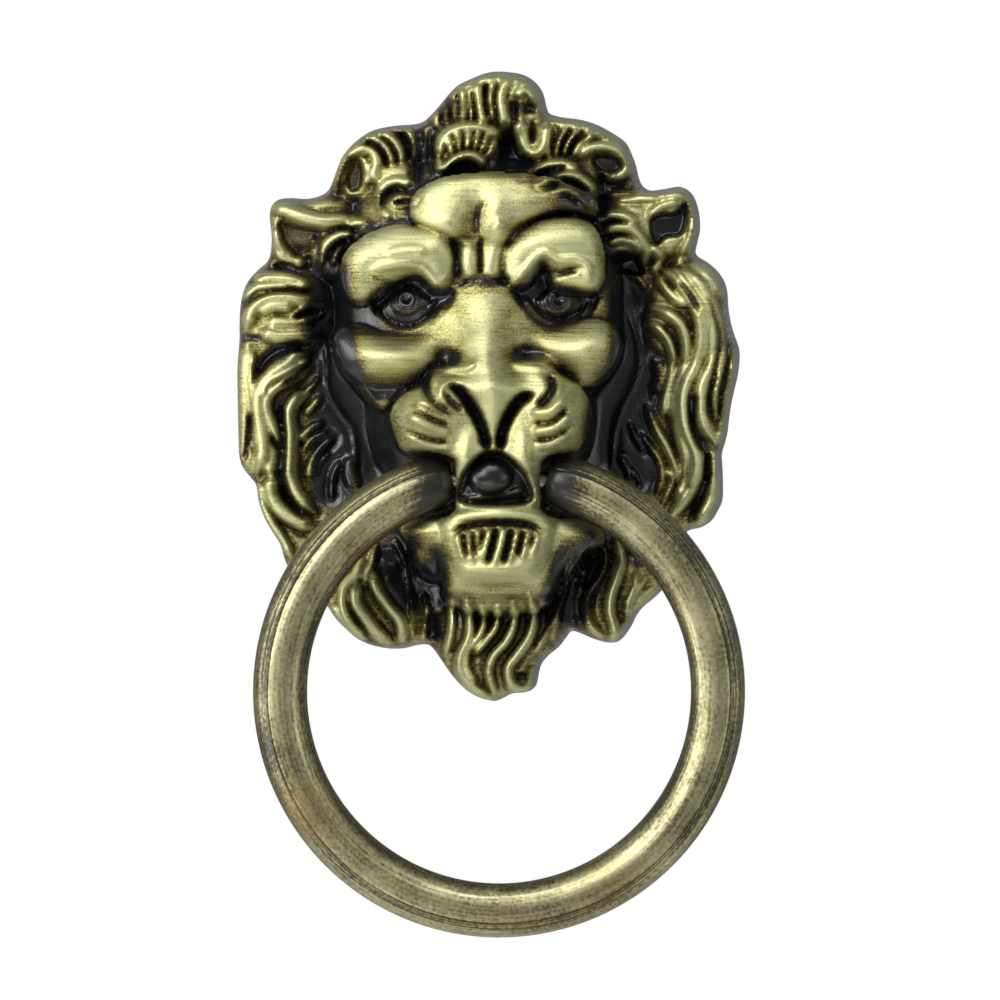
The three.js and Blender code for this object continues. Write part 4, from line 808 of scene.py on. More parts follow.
# Cut lines and creases: the points, half width, depth, and how much dark lacquer lies in it.
CUTS: tuple[Cut, ...] = (
    # forehead and frown
    Cut(((-1.7, 19.2), (-2.2, 18), (-2.3, 16.6), (-2.1, 15.5)), 0.26, 0.4, 0.6),
    Cut(((-4.9, 15.2), (-3.4, 15.5), (-2.2, 15.3)), 0.16, 0.4, 0.5),
    Cut(((-4.8, 15.0), (-4.5, 13.2), (-4.4, 11.2)), 0.24, 0.6, 0.85),
    Cut(((-1.9, 15.4), (-2.0, 13.6), (-1.9, 11.5)), 0.2, 0.7, 0.85),
    Cut(((-4.2, 10.5), (-2.0, 11.1), (0.2, 10.6)), 0.22, 0.8, 0.9),
    Cut(((1.3, 15.6), (0.6, 14.2), (0.3, 13), (0.3, 11.8), (0.6, 10.6)), 0.14, 0.4, 0.7),
    Cut(((1.3, 15.6), (2.2, 16.5), (4.2, 17.45), (6.6, 17.9), (9.2, 17.7)), 0.2, 0.4, 0.5),
    Cut(((-13.4, 16.2), (-11.5, 16.9), (-9.6, 17.1), (-7, 16.2), (-5, 15.3)), 0.16, 0.5, 0.4),
    Cut(((-8.4, 20.6), (-6.6, 21.9), (-3.4, 22.2), (0, 22.2), (3, 22.1)), 0.3, 0.8, 0.4),
    # brows
    Cut(((-13.2, 11.3), (-12, 10.9), (-10.6, 10.8)), 0.16, 0.5, 0.8),
    Cut(((4.4, 12.6), (5.3, 11.8), (6.6, 11.7), (8.2, 12.1)), 0.34, 0.8, 0.85),
    # eyes
    Cut(((-13.6, 8.7), (-12.2, 9.6), (-10.6, 10.4), (-9.0, 10.9), (-8.0, 10.7), (-7.2, 9.9),
        (-5.8, 9.7)), 0.4, 1.5, 1.0),
    Cut(((-12.2, 7.7), (-11.0, 6.6), (-9.6, 6.3), (-8.2, 6.8), (-6.8, 8.1)), 0.2, 0.7, 0.9),
    Cut(((-11.4, 7.8), (-10.2, 6.6), (-8.4, 7.0)), 0.2, 0.8, 0.9),
    Cut(((1.6, 10.0), (3.2, 10.2), (4.6, 11.6), (5.6, 10.2), (7.6, 9.7), (9.4, 9.4), (11, 9.5)), 0.4, 1.4, 1.0),
    Cut(((3.4, 8.4), (4.5, 7.2), (6.2, 6.8), (7.8, 7.2), (9.0, 8.3)), 0.2, 0.7, 0.9),
    Cut(((4.9, 8.2), (6.0, 7.2), (7.6, 7.8)), 0.2, 0.8, 0.9),
    # nose
    Cut(((-8.4, 0.4), (-7.7, 1.3), (-6.8, 2.1), (-5.6, 2.3), (-4.2, 2.4)), 0.28, 1.0, 0.8),
    Cut(((-7.4, 0.6), (-7.5, -0.6), (-6.7, -2.0), (-5.0, -3.0)), 0.34, 1.4, 0.9),
    Cut(((-6.6, 2.7), (-5.4, 2.9), (-4.0, 2.7)), 0.6, 0.2, 0.55),
    Cut(((1.4, 3.0), (2.4, 3.3), (3.6, 3.3), (4.6, 2.8)), 0.65, 0.1, 0.5),
    Cut(((4.8, 2.3), (6.4, 1.6), (8.2, 0.3)), 0.18, 0.6, 0.45),
    Cut(((-4.9, -0.2), (-3.9, -0.9), (-2.8, -2.4), (-1.8, -4.4), (-1.2, -6.8)), 0.44, 2.4, 1.0),
    Cut(((3.4, -1.0), (2.2, -1.6), (1.0, -3.2), (0.3, -5), (0.1, -6.8)), 0.44, 2.4, 1.0),
    Cut(((5.2, 0.9), (5.6, -0.2), (5.0, -1.4), (4.1, -2.2)), 0.42, 1.4, 1.0),
    Cut(((-5.6, -0.9), (-5.0, -1.8), (-3.8, -2.6)), 0.3, 0.8, 0.8),
    # whisker pads
    Cut(((-9.2, -1.9), (-7.4, -2.7), (-5.4, -3.2)), 0.2, 0.5, 0.5),
    Cut(((-8.8, -2.6), (-7.2, -3.5), (-5.3, -4.3)), 0.26, 0.8, 0.95),
    Cut(((-9.6, -4.8), (-7.5, -5.6), (-5.3, -6.0)), 0.2, 0.6, 0.85),
    Cut(((3.7, -4.0), (5.5, -3.9), (7.1, -2.5)), 0.24, 0.8, 0.9),
    Cut(((3.8, -5.7), (5.6, -5.5), (7.7, -4.3)), 0.18, 0.6, 0.8),
    # chin
    Cut(((-4.6, -15.3), (-3, -14.6), (0, -14.3), (3, -14.6), (4.6, -15.4)), 0.34, 1.1, 0.9),
    Cut(((-3.8, -15.4), (-3.4, -18.0)), 0.24, 0.9, 0.9),
    Cut(((-2.8, -15.2), (-2.6, -18.0)), 0.2, 0.8, 0.8),
    Cut(((-1.6, -15.0), (-2.2, -17.2)), 0.22, 0.8, 0.8),
    Cut(((-0.3, -14.9), (-1.2, -18.5)), 0.28, 1.1, 1.0),
    Cut(((1.3, -15.0), (0.5, -18.5)), 0.28, 1.1, 1.0),
    Cut(((2.5, -15.1), (1.9, -17.8)), 0.24, 0.9, 0.9),
    Cut(((3.6, -15.4), (3.1, -16.8)), 0.2, 0.8, 0.8),
    # hair grooves
    Cut(((-26.2, -2.8), (-26.3, -4.6), (-26.5, -6.4), (-26.8, -7.9)), 0.24, 0.8, 0.9),
    Cut(((-25.4, 1.2), (-24.6, 2.8), (-23, 3.9), (-21.4, 4.2), (-20.2, 3.9)), 0.5, 1.2, 1.0),
    Cut(((-22.6, 0.2), (-21.2, 1.1), (-20.0, 2.4)), 0.26, 0.8, 0.9),
    Cut(((-23.0, -1.6), (-22.9, -3.4), (-22.8, -6), (-22.9, -8), (-22.8, -10.4), (-21.9, -12.4),
         (-20.4, -14)), 0.36, 1.1, 1.0),
    Cut(((-24.0, -5.2), (-23.4, -6.3), (-22.9, -7.2)), 0.25, 0.9, 0.9),
    Cut(((-26.8, 8.2), (-26, 9.1), (-24, 9.9), (-21.4, 10.0), (-19.6, 9.9)), 0.28, 0.9, 0.9),
    Cut(((-21.4, 7.3), (-20.4, 7.7), (-19.2, 7.8)), 0.22, 0.9, 0.9),
    Cut(((-26.6, 5.2), (-25, 4.9)), 0.3, 0.7, 0.7),
    Cut(((-25.4, 11.0), (-23, 11.0), (-20.6, 10.8)), 0.16, 0.4, 0.4),
    Cut(((-23.8, 12.6), (-22.2, 12.6), (-20.8, 11.9)), 0.28, 0.8, 0.8),
    Cut(((-18.0, 16.3), (-16.4, 16.6), (-14.9, 16.2)), 0.2, 0.7, 0.9),
    Cut(((-18.0, 13.0), (-17.2, 14.6), (-16, 15.3), (-14.6, 15.1)), 0.24, 0.8, 0.9),
    Cut(((-19.3, 15.8), (-19, 14), (-19.1, 12.4)), 0.3, 0.8, 0.8),
    Cut(((-16.9, 20.8), (-16.3, 22.6), (-15.4, 24.1)), 0.3, 1.0, 0.95),
    Cut(((-14.3, 25.6), (-13.0, 25.2), (-12.1, 24.2), (-11.8, 23.1)), 0.26, 1.1, 0.95),
    Cut(((-12.6, 26.2), (-11.6, 25.4), (-10.9, 24.2), (-10.7, 23.2)), 0.16, 0.7, 0.85),
    Cut(((-10.6, 26.6), (-9.9, 26.0), (-9.5, 24.9), (-9.5, 23.8)), 0.34, 1.3, 0.95),
    Cut(((-12.3, 18.6), (-12.0, 19.9), (-10.9, 20.6), (-9.3, 20.3)), 0.3, 1.1, 1.0),
    Cut(((-11.0, 19.2), (-10, 19.3), (-9.2, 19.3)), 0.2, 0.6, 1.0),
    Cut(((-8.4, 27.4), (-8.4, 25), (-8.5, 23), (-8.6, 21.2)), 0.4, 1.0, 0.7),
    Cut(((-7.4, 26.8), (-7.2, 24.6), (-6.9, 22.6), (-5, 22.2), (-2.4, 22.3)), 0.45, 0.5, 0.25),
    Cut(((-6.1, 27.8), (-5.9, 28.8), (-5.4, 30.0)), 0.22, 0.9, 0.9),
    Cut(((-5.1, 28.0), (-5.1, 29.2), (-4.9, 30.2)), 0.24, 1.0, 0.9),
    Cut(((-4.3, 28.2), (-4.2, 29.4), (-4.4, 30.8)), 0.2, 0.9, 0.9),
    Cut(((-3.4, 30.7), (-3.4, 29.6), (-3.3, 28)), 0.14, 0.6, 0.7),
    Cut(((-2.8, 30.9), (-2.6, 29.6), (-2.4, 28)), 0.18, 0.8, 0.85),
    Cut(((-1.4, 31.6), (-1.5, 30.2), (-1.2, 28)), 0.22, 1.0, 0.9),
    Cut(((0.0, 31.8), (-0.4, 30.8), (-0.4, 29.4), (-0.1, 28)), 0.18, 0.8, 0.85),
    Cut(((1.5, 31.8), (0.9, 30.8), (0.8, 29.6)), 0.12, 0.5, 0.7),
    Cut(((-5.3, 22.3), (-4.2, 23.1), (-3, 23.2), (-2.1, 22.4)), 0.38, 1.3, 1.0),
    Cut(((-5.7, 25.4), (-5.3, 24.1)), 0.16, 0.7, 0.8),
    Cut(((-4.7, 26.3), (-4.5, 24.4)), 0.16, 0.7, 0.9),
    Cut(((-3.8, 26.5), (-3.8, 24.7)), 0.16, 0.7, 0.9),
    Cut(((-2.7, 26.5), (-2.9, 24.8)), 0.16, 0.7, 0.9),
    Cut(((-1.7, 26.5), (-2.2, 24.7)), 0.16, 0.7, 0.9),
    Cut(((-0.8, 26.1), (-1.5, 24.3)), 0.16, 0.7, 0.9),
    Cut(((3.6, 27.9), (3.5, 26.8), (3.5, 25.6)), 0.2, 1.0, 0.9),
    Cut(((6.6, 27.0), (5.8, 25.6), (5.6, 24.2)), 0.2, 0.9, 0.9),
    Cut(((7.7, 26.9), (6.8, 25.6), (6.4, 24.2)), 0.24, 1.0, 0.95),
    Cut(((9.3, 26.4), (8.0, 25.6), (7.3, 24.2)), 0.26, 1.1, 0.95),
    Cut(((3.3, 21.8), (4.8, 22.4), (7, 22.9)), 0.26, 0.9, 0.9),
    Cut(((4.9, 20.6), (6.6, 21.0), (8.4, 20.5), (9.4, 19.2)), 0.32, 1.1, 1.0),
    Cut(((6.3, 19.8), (7.4, 19.6), (8.4, 18.8)), 0.2, 0.7, 0.8),
    Cut(((10.8, 22.6), (10.9, 20.6), (10.7, 18.6)), 0.5, 1.0, 0.9),
    Cut(((11.8, 21.2), (13.4, 21.5)), 0.3, 0.8, 0.8),
    Cut(((10.7, 16.7), (12.2, 17.2), (13.6, 17.1)), 0.16, 0.7, 0.9),
    Cut(((11.2, 15.6), (12.8, 15.9), (14.2, 15.6)), 0.14, 0.6, 0.8),
    Cut(((22.9, 10.0), (24.0, 6.2), (24.2, 3.4), (23.8, 0.4), (23.3, -1.8), (23.2, -4.4)), 0.2, 0.9, 0.9),
    Cut(((22.2, 9.0), (23.1, 5.8), (23.1, 3.4), (22.4, 0.6), (22.0, -1.6), (22.4, -4.2)), 0.2, 0.9, 0.9),
    Cut(((17.6, 12.8), (20, 12.2), (21.6, 11.2)), 0.16, 0.5, 0.8),
    Cut(((18.9, 10.8), (20.1, 9.4), (20.9, 7.8)), 0.26, 0.9, 0.9),
    Cut(((17.4, 11.4), (18.4, 10.2)), 0.22, 0.7, 0.9),
    Cut(((17.2, 6.6), (18.4, 5), (19, 3)), 0.24, 0.8, 0.9),
    Cut(((20.6, -0.8), (20.3, -3.4), (20.8, -5.6), (21.7, -7)), 0.32, 1.1, 1.0),
    Cut(((21.9, -6.9), (21.9, -9.5), (21.3, -11.8), (20.1, -14.2)), 0.32, 1.2, 0.95),
    Cut(((18.0, -3.2), (18.2, -5.4), (19.0, -8)), 0.2, 0.7, 0.8),
)

# Sunk places: outline, depth taken away, width of the slope round it, and how much lacquer lies in it.
POCKETS: tuple[Pocket, ...] = (
    Pocket(((-23.2, 17.4), (-21.4, 16.9), (-18.8, 16.5), (-18.9, 15.4), (-19.8, 14.2), (-21.4, 13.9),
            (-22.9, 15.4)), 1.5, 0.6, 0.45),  # hollow of the left ear
    Pocket(((-15.8, 20.6), (-16, 22), (-15, 23.9), (-14.3, 23.6), (-14.2, 22), (-14.7, 20.7)), 1.1, 0.5, 0.5),
    Pocket(((15.9, 17.4), (17, 18.2), (18.4, 18.3), (19.7, 19.3), (19.8, 17.5), (19.2, 15.9),
            (17.6, 15.6), (16.4, 14.8)), 2.0, 0.5, 1.0),  # hollow of the right ear
    Pocket(((9.6, 23.6), (10.4, 24.5), (12, 24.3), (13.1, 23.4), (12.4, 22.4), (10.8, 22.4)), 1.3, 1.0, 0.6),
    Pocket(((1.0, 29.6), (1.1, 28), (1.8, 27.6), (2.4, 28.4), (3.9, 28.8), (3.6, 29.8), (2, 30)), 1.0, 0.8, 0.8),
    Pocket(((12, 13.6), (13.4, 14.2), (14.8, 13.2), (15.2, 11.8), (13, 12)), 1.3, 0.5, 1.0),
    Pocket(((1.8, -30.2), (2.8, -30.2), (2.8, -30.8), (2.1, -30.9)), 0.8, 0.35, 0.7),
    Pocket(((-1.9, 10.9), (-0.9, 11.0), (0.9, 11.4), (0.9, 10.4), (-0.6, 10.3)), 0.7, 0.4, 0.8),
)

# Sunk bands of bare lacquer round the face, with their half widths and depths.
TROUGHS: tuple[Cut, ...] = (
    Cut(((-17.6, 10.6), (-17.9, 7), (-17.5, 3), (-16.4, -1), (-14.2, -4.6), (-13.2, -8), (-13.6, -11)),
        2.4, 1.0, 1.0),
    Cut(((-17.0, -1.6), (-17.6, -6), (-17.4, -10), (-18.2, -13)), 2.2, 0.5, 1.0),
    Cut(((13.0, 12.0), (13.6, 8), (13.8, 4), (12.8, 0), (11.4, -3), (11.2, -7), (12.6, -10)), 2.0, 1.0, 1.0),
    Cut(((15.4, 4), (15.2, 0), (14.6, -4), (14.8, -8), (15.8, -12)), 1.7, 0.6, 1.0),
    Cut(((-9.4, -16.8), (-10, -19), (-9.6, -22), (-7.2, -20.8), (-6.6, -18)), 1.5, 0.6, 1.0),
    Cut(((-12.0, -16.6), (-11.6, -19), (-9.8, -20.6)), 1.4, 0.6, 1.0),
    Cut(((7.4, -17.4), (6.6, -20), (5.6, -23)), 1.4, 0.6, 1.0),
    Cut(((10, -16.6), (9.6, -19.4), (8.2, -22.6), (7.6, -25)), 1.6, 0.6, 0.95),
    Cut(((14.4, -16.4), (15.8, -18.6)), 1.4, 0.6, 1.0),
    Cut(((-7.3, -24), (-6.6, -26.6)), 0.8, 0.6, 0.9),
    Cut(((10.4, 19.6), (10.8, 17.6)), 0.5, 0.4, 0.8),
    Cut(((1.2, 26.8), (1.2, 24.6), (1.8, 23.0)), 0.7, 0.6, 0.4),
)

EYE_SOCKETS: tuple[Pocket, ...] = (
    Pocket(((-13.3, 8.6), (-12.4, 9.4), (-11, 10.4), (-9.2, 11), (-7.9, 10.8), (-7, 9.9), (-5.8, 9.8), (-4.7, 10),
            (-4.9, 8.8), (-5.9, 7.7), (-7.3, 6.5), (-9.2, 5.7), (-11.1, 5.8), (-12.5, 6.9)), 1.4, 0.8, 1.0),
    Pocket(((1.3, 10), (2.4, 10.2), (3.6, 10.8), (4.5, 12.4), (5.3, 11.2), (5.6, 10.2), (7, 9.9), (10.3, 9.4),
            (10, 8), (8.8, 6.8), (7, 6.1), (5.2, 6.1), (3.6, 6.9), (2.4, 8.3)), 1.4, 0.8, 1.0),
)
MOUTH = Pocket(((-3.9, -12.3), (-4.1, -10), (-3.4, -8.6), (-1.9, -7.2), (-0.8, -6.9), (0.4, -7.1),
                (2.0, -8.3), (3.0, -9.6), (3.1, -12.3)), 3.0, 0.4, 1.0)
BEADS: tuple[Bead, ...] = (
    Bead(-9.7, 8.5, 2.5, 1.8, 1.2, -9.7, 9.0),
    Bead(6.3, 8.6, 2.3, 1.6, 1.2, 6.2, 8.9),
)

# Soft clouds of black painted on the forms: painted shade where the forms turn away from the light, and in part
# black of the finish.
SHADE_AND_BLACK_CLOUDS: tuple[Swell, ...] = (
    Swell(2.0, 21.2, 5.0, 0.9, 0.3), Swell(3.6, 19.2, 3.0, 1.5, 0.16), Swell(8.0, 18.9, 2.9, 1.5, 0.95, -8),
    Swell(-8.2, 19.2, 0.9, 1.6, 0.3), Swell(5.0, 17.7, 2.4, 0.5, 0.4, 16), Swell(-13.8, 7.0, 1.7, 1.2, 0.9),
    Swell(-2.9, 17.0, 0.7, 1.6, 0.42, -10),
    Swell(-16.2, 11.4, 1.3, 2.8, 0.6), Swell(-12.4, 10.3, 1.8, 0.6, 0.35), Swell(10.4, 13.4, 0.8, 2.4, 0.4),
    Swell(-1.6, 10.2, 2.8, 0.7, 0.4), Swell(-9.6, 5.0, 3.6, 0.8, 0.45), Swell(5.6, 5.6, 3.6, 0.7, 0.4),
    Swell(-4.4, 8.0, 0.6, 1.6, 0.3, 30), Swell(1.4, 8.2, 0.6, 1.6, 0.3, -35),
    Swell(-5.3, 2.9, 1.7, 0.6, 0.3), Swell(-26.8, -3.0, 1.3, 7.0, 0.22), Swell(2.9, 3.3, 1.8, 0.7, 0.5),
    Swell(-16.6, 3.6, 1.2, 2.6, 0.7), Swell(-13.4, 5.9, 2.0, 0.8, 0.5),
    Swell(-12.4, -0.8, 2.4, 1.0, 0.95), Swell(10.6, 1.0, 1.3, 1.3, 0.5), Swell(12.2, 4.2, 0.7, 1.8, 0.35),
    Swell(-11.1, -4.6, 0.8, 2.4, 0.2), Swell(-14.6, 2.6, 1.4, 3.0, 0.22), Swell(-11.8, 0.6, 3.0, 0.6, 0.3),
    Swell(9.3, -4.0, 0.7, 2.6, 0.3), Swell(-7.4, -7.4, 2.6, 0.6, 0.3),
    Swell(6.4, -7.4, 2.4, 0.6, 0.3), Swell(0.2, -21.9, 5.4, 0.8, 0.35), Swell(0.2, -20.9, 4.0, 0.25, 0.5),
    Swell(-8.6, -15.8, 1.8, 1.3, 0.4), Swell(8.9, -16.3, 1.8, 1.4, 0.45), Swell(-6.4, -18.6, 0.8, 2.2, 0.6),
    Swell(6.4, -18.8, 0.8, 2.2, 0.6), Swell(-21.6, 3.9, 2.4, 0.6, 0.35), Swell(-22.4, 6.0, 2.6, 0.7, 0.35),
    Swell(-26.2, 4.9, 1.4, 0.6, 0.5), Swell(-18.6, 12.0, 1.2, 1.6, 0.4),
)

# Rims lightened inside black places: rubbed bright again by the wheel, and painted highlight along thin edges that
# catch the light.
RUBBED_AND_HIGHLIT_RIMS: tuple[Cut, ...] = (
    Cut(LEFT_LID_OUTER[:-1], 0.16, 0, -0.7),
    Cut(LEFT_LID_INNER[:-1], 0.13, 0, -0.5),
    Cut(((-11.1, 9.1), (-10.8, 8.1), (-9.9, 7.6), (-8.8, 7.9), (-8.3, 8.9)), 0.13, 0, -0.55),
    Cut(RIGHT_LID_OUTER[:-1], 0.15, 0, -0.65),
    Cut(RIGHT_LID_INNER[:-1], 0.13, 0, -0.5),
    Cut(((4.9, 8.9), (5.3, 8.0), (6.2, 7.6), (7.2, 8.0), (7.6, 8.9)), 0.15, 0, -0.7),
    Cut(LEFT_SEAM, 0.2, 0, -0.35),
    Cut(RIGHT_SEAM, 0.2, 0, -0.45),
    Cut(((-14.8, 0.1), (-12.2, -2.1), (-10.0, -0.4), (-8.0, 0.6)), 0.14, 0, -0.4),
    Cut(((-3.4, -11.9), (-1, -11.8), (1.6, -11.4), (2.6, -10.8)), 0.2, 0, -0.6),
    Cut(((-4.3, -1.0), (-3.0, -2.0), (-2.2, -3.4)), 0.14, 0, -0.5),
)


# ---- shared helpers ----------------------------------------------------------------------------------

ALONG_X = (0, math.pi / 2, 0)
ALONG_Y = (math.pi / 2, 0, 0)
COLOUR_OUT = 2  # the Mix node has an output for each kind of value, and this one is its colour


class Body(Enum):
    """The bodies that a piece can ride on."""

    MASK = "mask"
    RING = "ring"


def linear(hex_colour: str) -> tuple[float, float, float, float]:
    """Turns an sRGB hex colour such as "b5b27a" to linear light with alpha 1."""
    channels = [int(hex_colour[i : i + 2], 16) / 255 for i in (0, 2, 4)]
    return (*[c / 12.92 if c <= 0.04045 else ((c + 0.055) / 1.055) ** 2.4 for c in channels], 1.0)


def add_node(
    tree: bpy.types.NodeTree, kind: str, links: dict | None = None, out: str | int = 0, **settings: object
) -> Socket | None:
    """Adds a shader node with its settings and links.

    Args:
        tree: the node tree to add it to.
        kind: the node's type, such as "Math", without the "ShaderNode" before it.
        links: input name or number to a value, or to an output socket to link from.
        out: name or number of the output that is wanted.
        settings: the node's own properties.

    Returns:
        The output that is wanted, or None where the node has no outputs.
    """
    made = tree.nodes.new(f"ShaderNode{kind}")
    for name, value in settings.items():
        setattr(made, name, value)
    for name, value in (links or {}).items():
        if isinstance(value, Socket):
            tree.links.new(value, made.inputs[name])
        else:
            made.inputs[name].default_value = value
    return made.outputs[out] if len(made.outputs) else None


def ramp(tree: bpy.types.NodeTree, factor: Socket, stops: Stops) -> Socket:
    """Adds a colour ramp.

    Args:
        tree: the node tree to add it to.
        factor: what the ramp is read by.
        stops: each colour's place, from 0 to 1, and its hex value.

    Returns:
        The ramp's colour.
    """
    colour = add_node(tree, "ValToRGB", {"Fac": factor})
    elements = colour.node.color_ramp.elements
    while len(elements) < len(stops):
        elements.new(0.5)
    for element, (place, hex_colour) in zip(elements, stops):
        element.position = place
        element.color = linear(hex_colour)
    return colour


def new_material(name: str) -> tuple[bpy.types.Material, bpy.types.NodeTree, Socket]:
    """A material with an empty tree, the tree, and the point in the object that patterns read.

    Args:
        name: the material's name.

    Returns:
        The material, its node tree and that point.
    """
    material = bpy.data.materials.new(name)
    material.use_nodes = True
    tree = material.node_tree
    tree.nodes.clear()
    return material, tree, add_node(tree, "TexCoord", out="Object")


def shade(tree: bpy.types.NodeTree, inputs: dict[str, object]) -> None:
    """Adds the main shader with its inputs, and joins it to the material's output."""
    add_node(tree, "OutputMaterial", {"Surface": add_node(tree, "BsdfPrincipled", inputs)})


def deselect_all() -> None:
    """Leaves nothing selected, in object mode."""
    if bpy.context.object and bpy.context.object.mode != "OBJECT":
        bpy.ops.object.mode_set(mode="OBJECT")
    bpy.ops.object.select_all(action="DESELECT")


def make_active(piece: bpy.types.Object, *others: bpy.types.Object) -> None:
    """Selects one piece alone, or with others, and makes it the active one.

    Args:
        piece: the piece to make active.
        others: more pieces to select with it.
    """
    deselect_all()
    for one in (*others, piece):
        one.select_set(True)
    bpy.context.view_layer.objects.active = piece


@contextmanager
def editing(piece: bpy.types.Object, select: str | None = "SELECT") -> Iterator[None]:
    """Edit mode on one piece.

    Args:
        piece: the piece to edit.
        select: "SELECT" for all of it, "DESELECT" for none, or None to leave the selection as it is.

    Yields:
        Nothing. Object mode comes back at the end.
    """
    make_active(piece)
    bpy.ops.object.mode_set(mode="EDIT")
    if select:
        bpy.ops.mesh.select_all(action=select)
    yield
    bpy.ops.object.mode_set(mode="OBJECT")


def select_open_edges() -> None:
    """Selects the edges round every opening of the mesh in edit mode, and nothing else."""
    bpy.ops.mesh.select_all(action="DESELECT")
    bpy.ops.mesh.select_mode(type="EDGE")
    bpy.ops.mesh.select_non_manifold(extend=False, use_wire=False, use_boundary=True, use_multi_face=False,
                                     use_non_contiguous=False, use_verts=False)


def apply_place(piece: bpy.types.Object) -> None:
    """Puts a piece's place, turn and scale into its mesh."""
    make_active(piece)
    bpy.ops.object.transform_apply(location=True, rotation=True, scale=True)


def add_modifier(piece: bpy.types.Object, kind: str, **settings: object) -> None:
    """Adds a modifier with its settings and applies it at once.

    Args:
        piece: the piece.
        kind: the modifier's type, such as "BEVEL".
        settings: the modifier's own properties.
    """
    make_active(piece)
    modifier = piece.modifiers.new(kind.lower(), kind)
    for name, value in settings.items():
        setattr(modifier, name, value)
    bpy.ops.object.modifier_apply(modifier=modifier.name)


def bevel(piece: bpy.types.Object, width: float, sharper_than: float = 40, segments: int = 2) -> None:
    """Bevels the edges of a piece that are sharper than an angle in degrees."""
    add_modifier(piece, "BEVEL", width=width * MM, segments=segments, limit_method="ANGLE",
                 angle_limit=math.radians(sharper_than))


def in_metres(place: Place) -> Place:
    """Turns millimetres to metres."""
    return tuple(value * MM for value in place)


def cylinder(radius: float, length: float, middle: Place, turn: Place, sides: int) -> bpy.types.Object:
    """Adds a plain cylinder, with its place in its mesh.

    Args:
        radius: its radius, or a prism's from its middle to a corner.
        length: its length.
        middle: the place of its middle.
        turn: ALONG_X or ALONG_Y.
        sides: how many sides it has.

    Returns:
        The new piece.
    """
    deselect_all()
    bpy.ops.mesh.primitive_cylinder_add(vertices=sides, radius=radius * MM, depth=length * MM,
                                        location=in_metres(middle), rotation=turn)
    piece = bpy.context.object
    apply_place(piece)
    return piece


def open_section(points: list[tuple[float, float]]) -> bpy.types.Object:
    """A line through points at z = 0, ready to be spun or screwed round the Y axis.

    Args:
        points: the distance from the axis and the place along it, point by point.

    Returns:
        The new piece, with edges and no faces.
    """
    deselect_all()
    bpy.ops.mesh.primitive_plane_add(size=MM)
    piece = bpy.context.object
    piece.data.clear_geometry()
    edges = [(k, k + 1) for k in range(len(points) - 1)]
    piece.data.from_pydata([in_metres((x, y, 0)) for x, y in points], edges, [])
    return piece


def face_outwards(piece: bpy.types.Object) -> None:
    """Merges doubles and turns every face outwards.

    Args:
        piece: the piece.
    """
    with editing(piece):
        bpy.ops.mesh.remove_doubles(threshold=2e-6)
        bpy.ops.mesh.normals_make_consistent(inside=False)


def smooth_by_angle(piece: bpy.types.Object, degrees: float = 35) -> None:
    """Smooth shading, kept sharp over edges steeper than an angle."""
    make_active(piece)
    bpy.ops.object.shade_smooth_by_angle(angle=math.radians(degrees))


def finish_piece(
    piece: bpy.types.Object, name: str, body: Body, node: str, material: bpy.types.Material
) -> None:
    """Names and dresses a piece, and sets it to ride on its body in place of its plain solid.

    Args:
        piece: the piece.
        name: its name.
        body: the body that it rides on.
        node: the plain solid that it stands for.
        material: its finish.
    """
    piece.name = name
    piece.data.name = name
    piece.data.materials.clear()
    piece.data.materials.append(material)
    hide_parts(node)
    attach(piece, body.value)
    log.info("%s: %d faces, on %s", name, len(piece.data.polygons), body.value)


# ---- finishes ----------------------------------------------------------------------------------------


